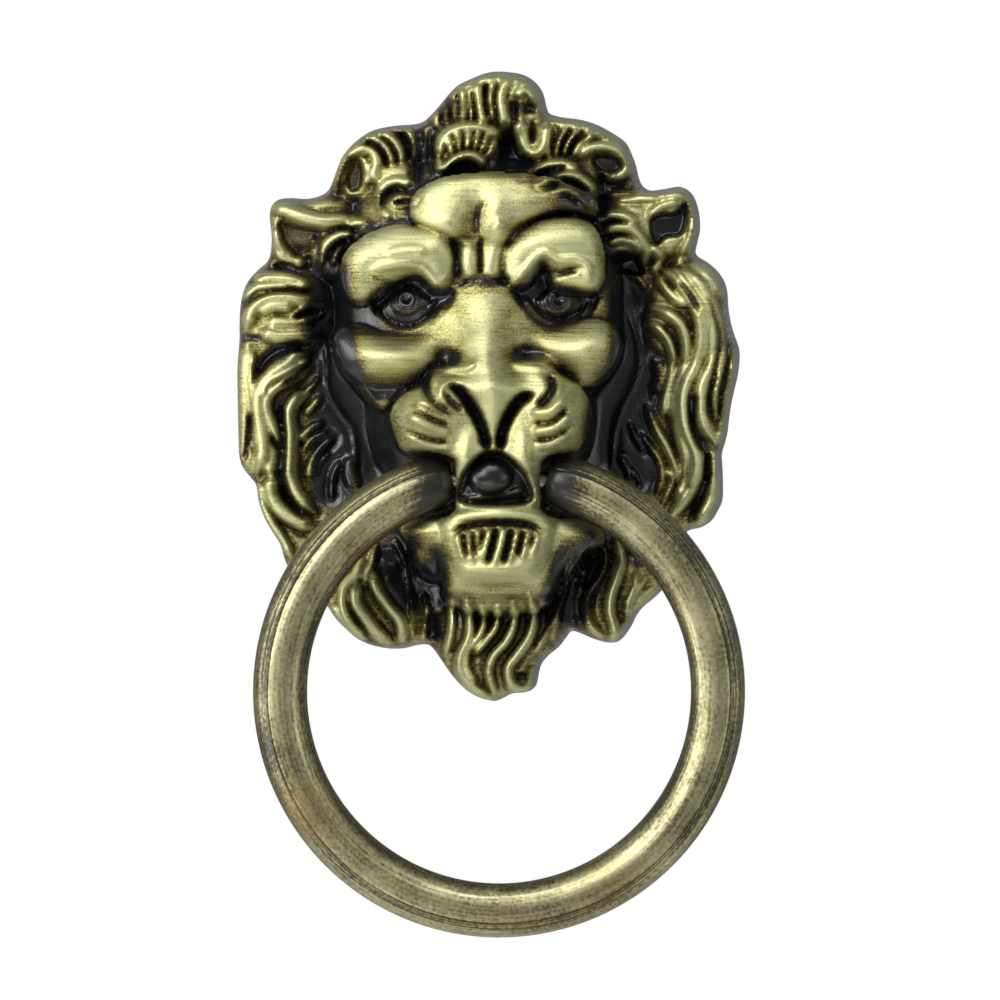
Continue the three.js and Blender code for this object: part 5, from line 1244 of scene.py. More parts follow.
@dataclass(frozen=True)
class AntiqueBronze:
    """Bronze plate on a zinc casting, blackened all over, buffed back on the high forms, then lacquered."""

    name: str = "antique_bronze_plate"
    buff_line_mm: float = 0.22  # spacing of the buffing wheel's lines, which run level
    speck_mm: float = 0.2  # size of the specks left in the plate's pores
    bare_wall: str = "a29ca0"  # the cool plate of the side wall and the back, which are not blackened
    colours: Stops = (
        (0.0, "0e0e11"), (0.16, "1c1b19"), (0.3, "453c25"), (0.44, "74693d"), (0.6, "928d58"), (0.78, "a6a470"),
        (1.0, "bfc08f"),
    )  # from whole black to buffed bare

    def build(self) -> bpy.types.Material:
        """Makes the material. It reads the mask's own wear and side attributes.

        Returns:
            The material.
        """
        material, tree, place = new_material(self.name)
        # The buffed share read here also holds painted shade and painted highlight.
        wear_and_painted_light = add_node(tree, "Attribute", out="Fac", attribute_name="wear_and_painted_light")
        side = add_node(tree, "Attribute", out="Fac", attribute_name="side")

        # Buffing lines run level, so the pattern is stretched across and fine up and down.
        lines_at = add_node(tree, "Mapping", {"Vector": place, "Scale": (120, 900, 1 / (self.buff_line_mm * MM))})
        lines = add_node(tree, "TexNoise", {"Vector": lines_at, "Scale": 1.0, "Detail": 2.5, "Roughness": 0.6})
        # Pores hold specks of the black.
        pores = {"Vector": place, "Scale": 1 / (self.speck_mm * MM), "Detail": 2.0, "Roughness": 0.65}
        specks = add_node(tree, "TexNoise", pores)
        cloud = add_node(tree, "TexNoise", {"Vector": place, "Scale": 260, "Detail": 3.0})

        jitter = add_node(tree, "Math", {0: lines, 1: 0.7, 2: -0.35}, operation="MULTIPLY_ADD")
        grain = add_node(tree, "Math", {0: specks, 1: 1.05, 2: -0.52}, operation="MULTIPLY_ADD")
        drift = add_node(tree, "Math", {0: cloud, 1: 0.6, 2: -0.3}, operation="MULTIPLY_ADD")
        uneven = add_node(tree, "Math", {0: jitter, 1: grain}, operation="ADD")
        uneven = add_node(tree, "Math", {0: uneven, 1: drift}, operation="ADD")
        # The black stays whole in the deepest places, so the unevenness fades there.
        amount = add_node(tree, "MapRange", {"Value": wear_and_painted_light, "From Min": 0.02, "From Max": 0.3})
        uneven = add_node(tree, "Math", {0: uneven, 1: amount}, operation="MULTIPLY")
        level = add_node(tree, "Math", {0: wear_and_painted_light, 1: uneven}, operation="ADD", use_clamp=True)

        colour = ramp(tree, level, self.colours)
        bare = linear(self.bare_wall)
        colour = add_node(tree, "Mix", {"Factor": side, "A": colour, "B": bare}, COLOUR_OUT, data_type="RGBA")
        # Bare plate is metal and scatters light softly. The lacquered black is neither, and shines.
        metal = add_node(tree, "MapRange", {"Value": level, "From Min": 0.1, "From Max": 0.4})
        gloss = {"Value": level, "From Min": 0.1, "From Max": 0.5, "To Min": 0.2, "To Max": 0.52}
        rough = add_node(tree, "Math", {0: jitter, 1: 0.4, 2: add_node(tree, "MapRange", gloss)},
                         operation="MULTIPLY_ADD")
        height = add_node(tree, "Math", {0: lines, 1: amount}, operation="MULTIPLY")
        height = add_node(tree, "Math", {0: specks, 1: height}, operation="ADD")
        bump = add_node(tree, "Bump", {"Height": height, "Strength": 0.6, "Distance": 0.06 * MM})
        shade(tree, {"Base Color": colour, "Metallic": metal, "Roughness": rough, "Coat Weight": 0.12,
                     "Coat Roughness": 0.25, "Normal": bump})
        return material


@dataclass(frozen=True)
class BrushedBronze:
    """The ring's plate, brushed along the bar so that fine streaks run round it, then lacquered."""

    name: str = "brushed_bronze_plate"
    streak_mm: float = 0.16  # spacing of the streaks across the bar
    handled: str = "8c6c3e"  # the brown that handling gives the lacquer in places
    colours: Stops = (
        (0.0, "1b1a17"), (0.18, "3d3828"), (0.36, "6c674c"), (0.55, "94906b"), (0.75, "aca882"), (1.0, "c6c29d"),
    )  # from whole black to brushed bare

    def build(self) -> bpy.types.Material:
        """Makes the material. Its streaks follow the bar round the ring's own middle.

        Returns:
            The material.
        """
        material, tree, place = new_material(self.name)
        middle = (0.0, PIVOT_DEPTH * MM, -RING_CENTRE_Z * MM)
        centred = add_node(tree, "VectorMath", {0: place, 1: middle}, operation="ADD")
        axes = add_node(tree, "SeparateXYZ", {0: centred}).node.outputs
        turn = add_node(tree, "Math", {0: axes["X"], 1: axes["Z"]}, operation="ARCTAN2")
        flat = add_node(tree, "CombineXYZ", {"X": axes["X"], "Y": axes["Z"]})
        radius = add_node(tree, "VectorMath", {0: flat}, "Value", operation="LENGTH")
        # Round the ring the pattern is long, and across the bar it is as fine as the brush's bristles.
        fine = 1 / (self.streak_mm * MM)
        across = add_node(tree, "Math", {0: radius, 1: fine}, operation="MULTIPLY")
        along = add_node(tree, "Math", {0: turn, 1: 3.2}, operation="MULTIPLY")
        deep = add_node(tree, "Math", {0: axes["Y"], 1: fine}, operation="MULTIPLY")
        where = add_node(tree, "CombineXYZ", {"X": across, "Y": along, "Z": deep})
        streaks = add_node(tree, "TexNoise", {"Vector": where, "Scale": 0.55, "Detail": 4.0, "Roughness": 0.62})
        specks = add_node(tree, "TexNoise", {"Vector": place, "Scale": 2600, "Detail": 2.0})
        cloud = add_node(tree, "TexNoise", {"Vector": place, "Scale": 190, "Detail": 2.0})

        level = add_node(tree, "Math", {0: streaks, 1: 1.15, 2: -0.76}, operation="MULTIPLY_ADD")
        level = add_node(tree, "Math", {0: specks, 1: 0.8, 2: level}, operation="MULTIPLY_ADD")
        level = add_node(tree, "Math", {0: cloud, 1: 0.7, 2: level}, operation="MULTIPLY_ADD")
        # The bar is made darker along its outer and inner sides than on its crown, most of all on the inner side.
        off_crown = add_node(tree, "Math", {0: radius, 1: RING_RADIUS * MM}, operation="SUBTRACT")
        for start, end, loss, held in ((1.5, 2.8, -0.12, False), (-1.7, -2.75, -0.3, True)):
            sides = {"Value": off_crown, "From Min": start * MM, "From Max": end * MM, "To Min": 0.0, "To Max": loss}
            left = add_node(tree, "MapRange", sides)
            level = add_node(tree, "Math", {0: level, 1: left}, operation="ADD", use_clamp=held)
        # Painted shade: next to the muzzle the ring's ends are darkened towards black, where they sink into the
        # shadowed recess.
        beside = add_node(tree, "Math", {0: axes["X"]}, operation="ABSOLUTE")
        reach = {"Value": beside, "From Min": 5.4 * MM, "From Max": 10.5 * MM, "To Min": -0.75, "To Max": 0.0}
        ends = add_node(tree, "MapRange", reach, interpolation_type="SMOOTHSTEP")
        high = add_node(tree, "MapRange", {"Value": axes["Z"], "From Min": 14 * MM, "From Max": 17 * MM})
        level = add_node(tree, "Math", {0: ends, 1: high, 2: level}, operation="MULTIPLY_ADD")
        groove = add_node(tree, "Attribute", out="Fac", attribute_name="groove")
        level = add_node(tree, "Math", {0: level, 1: groove}, operation="SUBTRACT", use_clamp=True)

        colour = ramp(tree, level, self.colours)
        patch = add_node(tree, "TexNoise", {"Vector": place, "Scale": 75, "Detail": 2.0})
        brown = add_node(tree, "MapRange", {"Value": patch, "From Min": 0.54, "From Max": 0.7, "To Max": 0.42})
        handled = linear(self.handled)
        colour = add_node(tree, "Mix", {"Factor": brown, "A": colour, "B": handled}, COLOUR_OUT, data_type="RGBA")
        metal = add_node(tree, "MapRange", {"Value": level, "From Min": 0.0, "From Max": 0.3, "To Min": 0.35})
        gloss = {"Value": streaks, "From Min": 0.3, "From Max": 0.7, "To Min": 0.5, "To Max": 0.36}
        rough = add_node(tree, "MapRange", gloss)
        bump = add_node(tree, "Bump", {"Height": streaks, "Strength": 0.45, "Distance": 0.05 * MM})
        shade(tree, {"Base Color": colour, "Metallic": metal, "Roughness": rough, "Coat Weight": 0.25,
                     "Coat Roughness": 0.2, "Normal": bump})
        return material


@dataclass(frozen=True)
class ZincPlate:
    """Bright zinc plate on steel: a cool, slightly clouded silver with tool marks."""

    name: str = "bright_zinc_plate"
    colours: Stops = ((0.3, "9aa0a6"), (0.5, "bcc1c4"), (0.72, "d3d6d6"))  # from the plate's clouds to its clear

    def build(self) -> bpy.types.Material:
        """Makes the material.

        Returns:
            The material.
        """
        material, tree, place = new_material(self.name)
        cloud = add_node(tree, "TexNoise", {"Vector": place, "Scale": 420, "Detail": 4.0, "Roughness": 0.6})
        marks_at = add_node(tree, "Mapping", {"Vector": place, "Scale": (900, 5200, 900)})
        marks = add_node(tree, "TexNoise", {"Vector": marks_at, "Scale": 1.0, "Detail": 2.0})
        gloss = {"Value": cloud, "From Min": 0.3, "From Max": 0.7, "To Min": 0.36, "To Max": 0.22}
        bump = add_node(tree, "Bump", {"Height": marks, "Strength": 0.3, "Distance": 0.02 * MM})
        shade(tree, {"Base Color": ramp(tree, cloud, self.colours), "Metallic": 1.0,
                     "Roughness": add_node(tree, "MapRange", gloss), "Normal": bump})
        return material


@dataclass(frozen=True)
class GroundSteel:
    """Centreless-ground steel: grey, with the grinding marks running round it."""

    name: str = "ground_steel"
    colours: Stops = ((0.3, "77797b"), (0.7, "a2a4a6"))  # across the grinding marks

    def build(self) -> bpy.types.Material:
        """Makes the material.

        Returns:
            The material.
        """
        material, tree, place = new_material(self.name)
        rings_at = add_node(tree, "Mapping", {"Vector": place, "Scale": (9000, 600, 600)})
        rings = add_node(tree, "TexNoise", {"Vector": rings_at, "Scale": 1.0, "Detail": 3.0})
        bump = add_node(tree, "Bump", {"Height": rings, "Strength": 0.3, "Distance": 0.01 * MM})
        shade(tree, {"Base Color": ramp(tree, rings, self.colours), "Metallic": 1.0, "Roughness": 0.28,
                     "Normal": bump})
        return material


@dataclass(frozen=True)
class PalePaper:
    """Matt white backdrop paper, faintly fibrous."""

    name: str = "backdrop_paper"
    colours: Stops = ((0.0, "ecebe8"), (1.0, "f4f3f1"))  # between its fibres and on them

    def build(self) -> bpy.types.Material:
        """Makes the material.

        Returns:
            The material.
        """
        material, tree, place = new_material(self.name)
        fibre = add_node(tree, "TexNoise", {"Vector": place, "Scale": 900, "Detail": 3.0})
        shade(tree, {"Base Color": ramp(tree, fibre, self.colours), "Roughness": 0.9})
        return material


# ---- the mask ----------------------------------------------------------------------------------------

EVERYWHERE: Window = (slice(None), slice(None))


@dataclass
class LionMask:
    """The hollow die-cast head, with its front modelled as a fine relief."""

    step: float = 0.18  # between the points of the front
    back_step: float = 0.4
    edge_round: float = 1.1
    draft: float = 0.42  # how far the side wall leans out, on average
    draft_bias: float = 0.36  # how much more it leans on the upper right
    lean_towards: tuple[float, float] = (0.78, 0.62)
    bare_edge: float = 0.22  # width over which the side wall's bare plate turns on to the front
    face_depth: float = 8.5  # forms deeper than this stand clear of the bands round the face
    boss_radius: float = 4.2
    boss_z: float = 16.0
    web_half: float = 1.0
    wall: float = 2.0
    rim_width: float = 2.2
    hollow: tuple[float, float] = (0.8, 9.0)  # least and greatest depth of the hollow
    fillet: float = 0.7
    muzzle_sides: tuple[tuple[int, float], ...] = ((-1, 4.55), (1, 4.45))
    recess_end: float = 14.6
    recess_floor: float = 9.4
    relief: Relief = field(init=False)

    def carve(self) -> None:
        """Models the front: forms first, then hair, folds, creases and the mouth."""
        relief = Relief(self.step)
        for shape in (*MANE_FORMS, *FACE_FORMS, *JAW_FORMS):
            relief.pillow(shape)
        for shape in FACE_PLATES:
            relief.plate(shape)
        for shape in SWELLS:
            relief.swell(shape)
        for band in TROUGHS:
            relief.cut(band)
        trough = relief.sunk * np.clip((self.face_depth - relief.form) / 1.5, 0, 1)
        relief.sunk = np.zeros_like(relief.sunk)
        for strand in LOCKS:
            relief.lock(strand)
        relief.darken_valleys()
        for fold in FOLDS:
            relief.lock(fold)
        for crease in CUTS:
            relief.cut(crease)
        for place in (*POCKETS, *EYE_SOCKETS, MOUTH):
            relief.pocket(place)
        for bead in BEADS:
            relief.bead(bead)
        # Painted shade: soft clouds of black where the forms turn away from the light.
        for cloud in SHADE_AND_BLACK_CLOUDS:
            relief.darkening(cloud)
        # Rims lightened: rubbed bright, and painted highlight along thin edges.
        for lightened_rim in RUBBED_AND_HIGHLIT_RIMS:
            relief.cut(lightened_rim)
        relief.height = relief.form - trough + relief.raised - relief.sunk
        self.relief = relief
        self.add_tongue()
        self.clear_ring()

    def add_tongue(self) -> None:
        """Lays the tongue in the mouth."""
        r = self.relief
        tongue = 1 - ((r.x + 0.9) / 2.3) ** 2 - ((r.z + 9.6) / 1.9) ** 2
        top = 14.6 + 1.6 * np.sqrt(np.clip(tongue, 0, 1))
        r.height = np.where(tongue > 0, np.maximum(r.height, top), r.height)

    def clear_ring(self) -> None:
        """Sinks the recesses beside the mouth, and keeps the hair under the ring clear of its swing."""
        r = self.relief
        across = np.abs(r.x)
        gap = np.abs(np.hypot(r.x, r.z - RING_CENTRE_Z) - RING_RADIUS) - BAR_RADIUS
        drop = np.clip(PIVOT_Z - r.z, 0, None)
        under = (r.z < PIVOT_Z) & (across > 5.2) & (gap < 0.35)
        r.height = np.where(under, np.minimum(r.height, self.recess_floor - 0.21 * drop), r.height)
        for side, edge in self.muzzle_sides:
            radius = 1.75 + 1.25 * rounded(np.clip((r.x * side - edge) / 3.0, 0, 1))
            dz = r.z - PIVOT_Z
            here = (r.x * side > edge) & (r.x * side < self.recess_end) & (dz < radius) & (dz > -radius - 1.0)
            floor = PIVOT_DEPTH - 0.1 - np.sqrt(np.clip(radius**2 - dz**2, 0, None))
            floor = np.where(dz > -radius, np.maximum(floor, self.recess_floor), self.recess_floor)
            r.height = np.where(here, np.minimum(r.height, floor), r.height)
            r.lacquer = np.where(here & (across < 12), 1.0, r.lacquer)

    def wear_and_painted_light(self) -> np.ndarray:
        """How far the buffing wheel has cut through the black, from 0 to 1, at every point of the front, with
        painted shade and painted highlight taken into it.

        Returns:
            The share at each grid point.
        """
        r = self.relief
        near = r.height - blurred(r.height, 1.0 / self.step)
        wide = r.height - blurred(r.height, 3.0 / self.step)
        slope = np.hypot(*np.gradient(blurred(r.height, 0.3 / self.step), self.step))
        bright = 0.79 + 0.38 * near + 0.12 * wide - 0.08 * np.clip(slope - 0.9, 0, 1.8)
        # This black includes painted shade, and is thinned along rims for painted highlight.
        lacquer = blurred(np.clip(r.lacquer, 0, 1), 0.2 / self.step)
        return np.clip(bright, 0, 1) * (1 - 0.96 * lacquer)

    def build(self) -> bpy.types.Object:
        """Makes the mesh: front, drafted side wall, flat rim and hollow back.

        Returns:
            The mask.
        """
        self.carve()
        r = self.relief
        loop = smooth_path(OUTLINE, 0.4, closed=True)
        inside = r.inside(loop, EVERYWHERE)
        dz, dx = np.gradient(blurred(inside, 0.3 / self.step), self.step)
        size = np.maximum(np.hypot(dx, dz), 1e-6)
        out_x, out_z = -dx / size, -dz / size
        lean = self.draft + self.draft_bias * (self.lean_towards[0] * out_x + self.lean_towards[1] * out_z)
        front = inside - lean
        rim = np.clip(front / self.edge_round, 0, 1)
        r.height = blurred(r.height, 0.13 / self.step)
        height = (r.height - self.edge_round * (1 - rounded(rim))).ravel()
        # The buffed share, with painted shade and painted highlight in it.
        worn_and_painted_light = self.wear_and_painted_light().ravel()

        quads = grid_squares(front > 0)
        edges = np.concatenate([quads[:, [k, (k + 1) % 4]] for k in range(4)])
        _, first, count = np.unique(np.sort(edges, 1), axis=0, return_index=True, return_counts=True)
        border = edges[first[count == 1]]
        edge = np.unique(border)

        # The points on the edge move out to the outline, and the side wall goes down from them.
        x, z, slack = r.x.ravel().copy(), r.z.ravel().copy(), front.ravel()
        way_x, way_z = out_x.ravel()[edge], out_z.ravel()[edge]
        x[edge] += way_x * slack[edge]
        z[edge] += way_z * slack[edge]
        height[edge] = r.height.ravel()[edge] - self.edge_round
        used = np.unique(quads)
        top = np.stack([x[used], -height[used], z[used]], 1)
        reach = lean.ravel()[edge]
        base = np.stack([x[edge] + way_x * reach, np.zeros(len(edge)), z[edge] + way_z * reach], 1)
        upper = numbered(r.x.size, used)
        lower = numbered(r.x.size, edge, len(used))
        walls = np.stack([upper[border[:, 1]], upper[border[:, 0]], lower[border[:, 0]], lower[border[:, 1]]], 1)

        back, back_faces = self.back(loop)
        points = np.concatenate([top, base, back]) * MM
        faces = np.concatenate([upper[quads], walls, back_faces + len(top) + len(base)])
        mesh = bpy.data.meshes.new("lion_head")
        mesh.from_pydata(points.tolist(), [], faces.tolist())
        extra = len(base) + len(back)
        side = np.clip(1 - slack[used] / self.bare_edge, 0, 1)
        for name, front_values, other in (("wear_and_painted_light", worn_and_painted_light[used], 0.5), ("side", side, 1.0)):
            values = np.concatenate([front_values, np.full(extra, other)]).astype(np.float32)
            mesh.attributes.new(name, "FLOAT", "POINT").data.foreach_set("value", values)
        piece = bpy.data.objects.new("lion_head", mesh)
        bpy.context.scene.collection.objects.link(piece)
        self.close_rim(piece)
        smooth_by_angle(piece, 60)
        return piece

    def back(self, loop: np.ndarray) -> tuple[np.ndarray, np.ndarray]:
        """Models the hollow behind, with its two bosses and the web between them, inside a flat rim.

        Args:
            loop: the mask's outline.

        Returns:
            The back's points, and its faces as point numbers.
        """
        r = self.relief
        coarse = Relief(self.back_step)
        gap = coarse.inside(loop, EVERYWHERE)
        i = np.clip(np.round((coarse.z - r.zs[0]) / self.step).astype(int), 0, len(r.zs) - 1)
        j = np.clip(np.round((coarse.x - r.xs[0]) / self.step).astype(int), 0, len(r.xs) - 1)
        # The hollow keeps a whole wall behind the lowest place of the front nearby.
        low = r.height[i, j]
        reach = int(round(1.7 / self.back_step))
        for axis in (0, 1):
            low = np.min([np.roll(low, k, axis) for k in range(-reach, reach + 1)], axis=0)
        deep = np.clip(blurred(low, 0.8 / self.back_step) - self.wall, *self.hollow)
        beside_web = eased((np.abs(coarse.x) - self.web_half) / self.fillet)
        past_web = eased((np.abs(coarse.z) - self.boss_z) / self.fillet)
        deep = deep * eased((gap - self.rim_width) / 1.0) * np.maximum(beside_web, past_web)
        for end in (1, -1):
            from_boss = np.hypot(coarse.x, coarse.z - end * self.boss_z) - self.boss_radius
            deep = deep * eased(from_boss / 0.8)
        quads = grid_squares(gap > 0.9)[:, [0, 3, 2, 1]]
        used = np.unique(quads)
        points = np.stack([coarse.x.ravel(), -deep.ravel(), coarse.z.ravel()], 1)[used]
        return points, numbered(coarse.x.size, used)[quads]

    @staticmethod
    def close_rim(piece: bpy.types.Object) -> None:
        """Fills the flat rim between the side wall's foot and the hollow.

        Args:
            piece: the mask, open at its rim.
        """
        with editing(piece, None):
            select_open_edges()
            bpy.ops.mesh.fill(use_beauty=True)
            bpy.ops.mesh.select_all(action="SELECT")
            bpy.ops.mesh.normals_make_consistent(inside=False)


# ---- the ring and its pin ----------------------------------------------------------------------------


@dataclass
class PullRing:
    """The split ring, brushed along its bar, with blind holes in its ends for the pin."""

    sides: int = 120
    steps: int = 150
    end_x: float = 5.05  # middle of the end's face
    end_taper: float = 3.3  # length of bar that is rounded down towards the end
    end_radius: float = 1.55
    bore: float = 1.0
    bore_depth: float = 2.9
    grooves: tuple[float, ...] = (27.0, 34.0, 41.0)  # degrees from the crown towards the outside
    groove_depth: float = 0.075
    groove_black: float = 0.45

    def grooving(self, angle: float, spread: float) -> float:
        """How deep in a turned line an angle round the bar lies, from 0 to 1, for a line of a given spread."""
        return min(sum(math.exp(-(((angle - at) / spread) ** 2)) for at in self.grooves), 1.0)

    def build(self) -> bpy.types.Object:
        """Spins the bar's section from the bottom to one end, and mirrors it to the other.

        Returns:
            The ring.
        """
        deselect_all()
        middle = in_metres((0, -PIVOT_DEPTH, RING_CENTRE_Z - RING_RADIUS))
        bpy.ops.mesh.primitive_circle_add(vertices=self.sides, radius=BAR_RADIUS * MM, location=middle,
                                          rotation=ALONG_X)
        piece = bpy.context.object
        apply_place(piece)
        self.shape_section(piece)
        end_angle = math.pi - math.asin(self.end_x / RING_RADIUS)
        centre = in_metres((0, -PIVOT_DEPTH, RING_CENTRE_Z))
        with editing(piece):
            bpy.ops.mesh.spin(steps=self.steps, angle=end_angle, center=centre, axis=(0, 1, 0))
            # The last section is left selected, and is closed.
            bpy.ops.mesh.edge_face_add()
        self.taper_end(piece)
        self.sink_bore(piece)
        add_modifier(piece, "MIRROR", use_axis=(True, False, False), use_mirror_merge=True, merge_threshold=1e-5)
        face_outwards(piece)
        self.mark_grooves(piece)
        smooth_by_angle(piece, 40)
        return piece

    def shape_section(self, piece: bpy.types.Object) -> None:
        """Lets the fine turned lines into the section.

        Args:
            piece: the section.
        """
        middle = Vector(in_metres((0, -PIVOT_DEPTH, RING_CENTRE_Z - RING_RADIUS)))
        for vertex in piece.data.vertices:
            arm = vertex.co - middle
            # The crown faces -Y, and outwards is -Z at the bottom of the ring.
            angle = math.degrees(math.atan2(-arm.z, -arm.y))
            radius = BAR_RADIUS - self.groove_depth * self.grooving(angle, 1.7)
            vertex.co = middle + arm.normalized() * radius * MM

    def taper_end(self, piece: bpy.types.Object) -> None:
        """Rounds the bar down towards its end.

        Args:
            piece: half of the ring.
        """
        for vertex in piece.data.vertices:
            co = vertex.co / MM
            if co.z < PIVOT_Z - 12 or abs(co.x) > 12:
                continue
            reach = math.hypot(co.x, co.z - RING_CENTRE_Z)
            axis_z = RING_CENTRE_Z + (co.z - RING_CENTRE_Z) * RING_RADIUS / reach
            axis = Vector((co.x * RING_RADIUS / reach, -PIVOT_DEPTH, axis_z))
            run = RING_RADIUS * math.asin(min(abs(axis.x) / RING_RADIUS, 1.0)) - self.end_x
            if run > self.end_taper:
                continue
            bulge = math.sqrt(max(0.0, 1 - (1 - max(run, 0) / self.end_taper) ** 2))
            radius = self.end_radius + (BAR_RADIUS - self.end_radius) * bulge
            vertex.co = (axis + (co - axis) * radius / BAR_RADIUS) * MM

    def sink_bore(self, piece: bpy.types.Object) -> None:
        """Sinks the blind hole for the pin into the end's face.

        Args:
            piece: half of the ring.
        """
        cap = max(piece.data.polygons, key=lambda face: len(face.vertices)).index
        side = math.copysign(1.0, sum(v.co.x for v in piece.data.vertices))
        with editing(piece, "DESELECT"):
            bpy.ops.mesh.select_mode(type="FACE")
        piece.data.polygons[cap].select = True
        with editing(piece, None):
            bpy.ops.mesh.inset(thickness=(self.end_radius - self.bore) * MM, depth=0)
            # The hole lies on the pin's axis, a little below the middle of the bar's end.
            drop = PIVOT_Z - RING_CENTRE_Z - math.sqrt(RING_RADIUS**2 - self.end_x**2)
            bpy.ops.transform.translate(value=(0, 0, drop * MM))
            inwards = (side * self.bore_depth * MM, 0, 0)
            bpy.ops.mesh.extrude_region_move(TRANSFORM_OT_translate={"value": inwards})

    def mark_grooves(self, piece: bpy.types.Object) -> None:
        """Stores how deep in a turned line each point lies, for the black that stays there.

        Args:
            piece: the whole ring.
        """
        values = np.zeros(len(piece.data.vertices), np.float32)
        for vertex in piece.data.vertices:
            co = vertex.co / MM
            out = math.hypot(co.x, co.z - RING_CENTRE_Z) - RING_RADIUS
            angle = math.degrees(math.atan2(out, -(co.y + PIVOT_DEPTH)))
            values[vertex.index] = self.groove_black * self.grooving(angle, 1.9)
        piece.data.attributes.new("groove", "FLOAT", "POINT").data.foreach_set("value", values)


@dataclass
class PivotPin:
    """The ground pin that crosses the muzzle into both ends of the ring."""

    radius: float = 0.9
    half_length: float = 7.35
    chamfer: float = 0.2

    def build(self) -> bpy.types.Object:
        """Turns the pin and chamfers its ends.

        Returns:
            The pin.
        """
        piece = cylinder(self.radius, 2 * self.half_length, (0, -PIVOT_DEPTH, PIVOT_Z), ALONG_X, 48)
        bevel(piece, self.chamfer, sharper_than=50)
        face_outwards(piece)
        smooth_by_angle(piece, 40)
        return piece


# ---- the fixings -------------------------------------------------------------------------------------


@dataclass
class Fixing:
    """One stud with its plain washer, split lock washer and cap nut, at a height on the mask."""

    z: float
    stud_radius: float = 2.0
    pitch: float = 0.7
    thread_depth: float = 0.34
    start: float = -7.5
    end: float = 27.6
    point: float = 0.35  # chamfer on the stud's ends
    washer_from: float = 20.0
    washer: Place = (2.15, 4.5, 0.8)  # inner radius, outer radius and thickness
    lock_from: float = 21.1
    lock: Place = (2.15, 3.8, 0.9)
    lock_gap: float = 13.0  # degrees between the lock washer's ends
    lock_spring: float = 0.12  # how far apart they stand
    nut_from: float = 22.3
    nut_across: float = 7.0
    nut_height: float = 8.0
    nut_hex: float = 3.2
    nut_dome: float = 3.25
    nut_bore: float = 2.12
    nut_bore_length: float = 6.6

    def stud(self) -> bpy.types.Object:
        """A threaded rod: one turn of V thread, screwed along, over a core that closes its ends.

        Returns:
            The stud.
        """
        crest, root = self.stud_radius, self.stud_radius - self.thread_depth
        turns = int((self.end - self.start - 1.2) / self.pitch)
        thread = [(root, 0.0), (root, 0.06), (crest, 0.3), (crest, 0.4), (root, 0.64), (root, self.pitch)]
        piece = open_section(thread)
        add_modifier(piece, "SCREW", axis="Y", angle=2 * math.pi, steps=28, render_steps=28,
                     screw_offset=self.pitch * MM, iterations=turns, use_merge_vertices=True, merge_threshold=1e-6)
        piece.location = in_metres((0, self.start + 0.3, self.z))
        apply_place(piece)
        middle = (0, (self.start + self.end) / 2, self.z)
        core = cylinder(root + 0.02, self.end - self.start, middle, ALONG_Y, 40)
        bevel(core, self.point, sharper_than=50)
        make_active(piece, core)
        bpy.ops.object.join()
        smooth_by_angle(piece, 30)
        return piece

    def plain_washer(self) -> bpy.types.Object:
        """The washer that lies on the door: a disc with its middle cut out, thickened and bevelled.

        Returns:
            The washer.
        """
        inner, outer, thick = self.washer
        deselect_all()
        bpy.ops.mesh.primitive_circle_add(vertices=72, radius=outer * MM, fill_type="NGON", rotation=ALONG_Y,
                                          location=in_metres((0, self.washer_from, self.z)))
        piece = bpy.context.object
        apply_place(piece)
        with editing(piece):
            bpy.ops.mesh.inset(thickness=(outer - inner) * MM, depth=0)
            bpy.ops.mesh.delete(type="FACE")
            bpy.ops.mesh.select_all(action="SELECT")
            bpy.ops.mesh.extrude_region_move(TRANSFORM_OT_translate={"value": (0, thick * MM, 0)})
        face_outwards(piece)
        bevel(piece, 0.1)
        smooth_by_angle(piece)
        return piece

    def lock_washer(self) -> bpy.types.Object:
        """A coiled spring washer: a square section turned nearly once round with its ends sprung apart.

        Returns:
            The lock washer.
        """
        inner, outer, thick = self.lock
        gap = math.radians(self.lock_gap)
        deselect_all()
        bpy.ops.mesh.primitive_plane_add(size=1, location=in_metres(((inner + outer) / 2, 0, 0)))
        piece = bpy.context.object
        piece.scale = ((outer - inner) * MM, (thick - self.lock_spring) * MM, 1)
        apply_place(piece)
        with editing(piece):
            bpy.ops.mesh.spin(steps=64, angle=2 * math.pi - gap, center=(0, 0, 0), axis=(0, 1, 0))
        with editing(piece):
            bpy.ops.mesh.remove_doubles(threshold=1e-6)
            select_open_edges()
            bpy.ops.mesh.edge_face_add()
        for vertex in piece.data.vertices:
            turn = math.atan2(-vertex.co.z, vertex.co.x) % (2 * math.pi)
            vertex.co.y += self.lock_spring * MM * (turn / (2 * math.pi) - 0.5)
        piece.rotation_euler = (0, -math.pi / 2 - gap / 2, 0)
        piece.location = in_metres((0, self.lock_from + thick / 2, self.z))
        apply_place(piece)
        face_outwards(piece)
        bevel(piece, 0.08)
        smooth_by_angle(piece)
        return piece

    def cap_nut(self) -> bpy.types.Object:
        """A hexagon nut with chamfered corners under a domed cap, and a plain bore for the stud.

        Returns:
            The nut.
        """
        middle = (0, self.nut_from + self.nut_hex / 2, self.z)
        nut = cylinder(self.nut_across / math.sqrt(3), self.nut_hex, middle, ALONG_Y, 6)
        bevel(nut, 0.18, segments=3)
        bore_middle = (0, self.nut_from + 2.3, self.z)
        bore = cylinder(self.nut_bore, self.nut_bore_length, bore_middle, ALONG_Y, 40)
        for tool, operation in ((self.dome(), "UNION"), (bore, "DIFFERENCE")):
            add_modifier(nut, "BOOLEAN", object=tool, operation=operation, solver="EXACT")
            bpy.data.objects.remove(tool)
        face_outwards(nut)
        smooth_by_angle(nut, 28)
        return nut

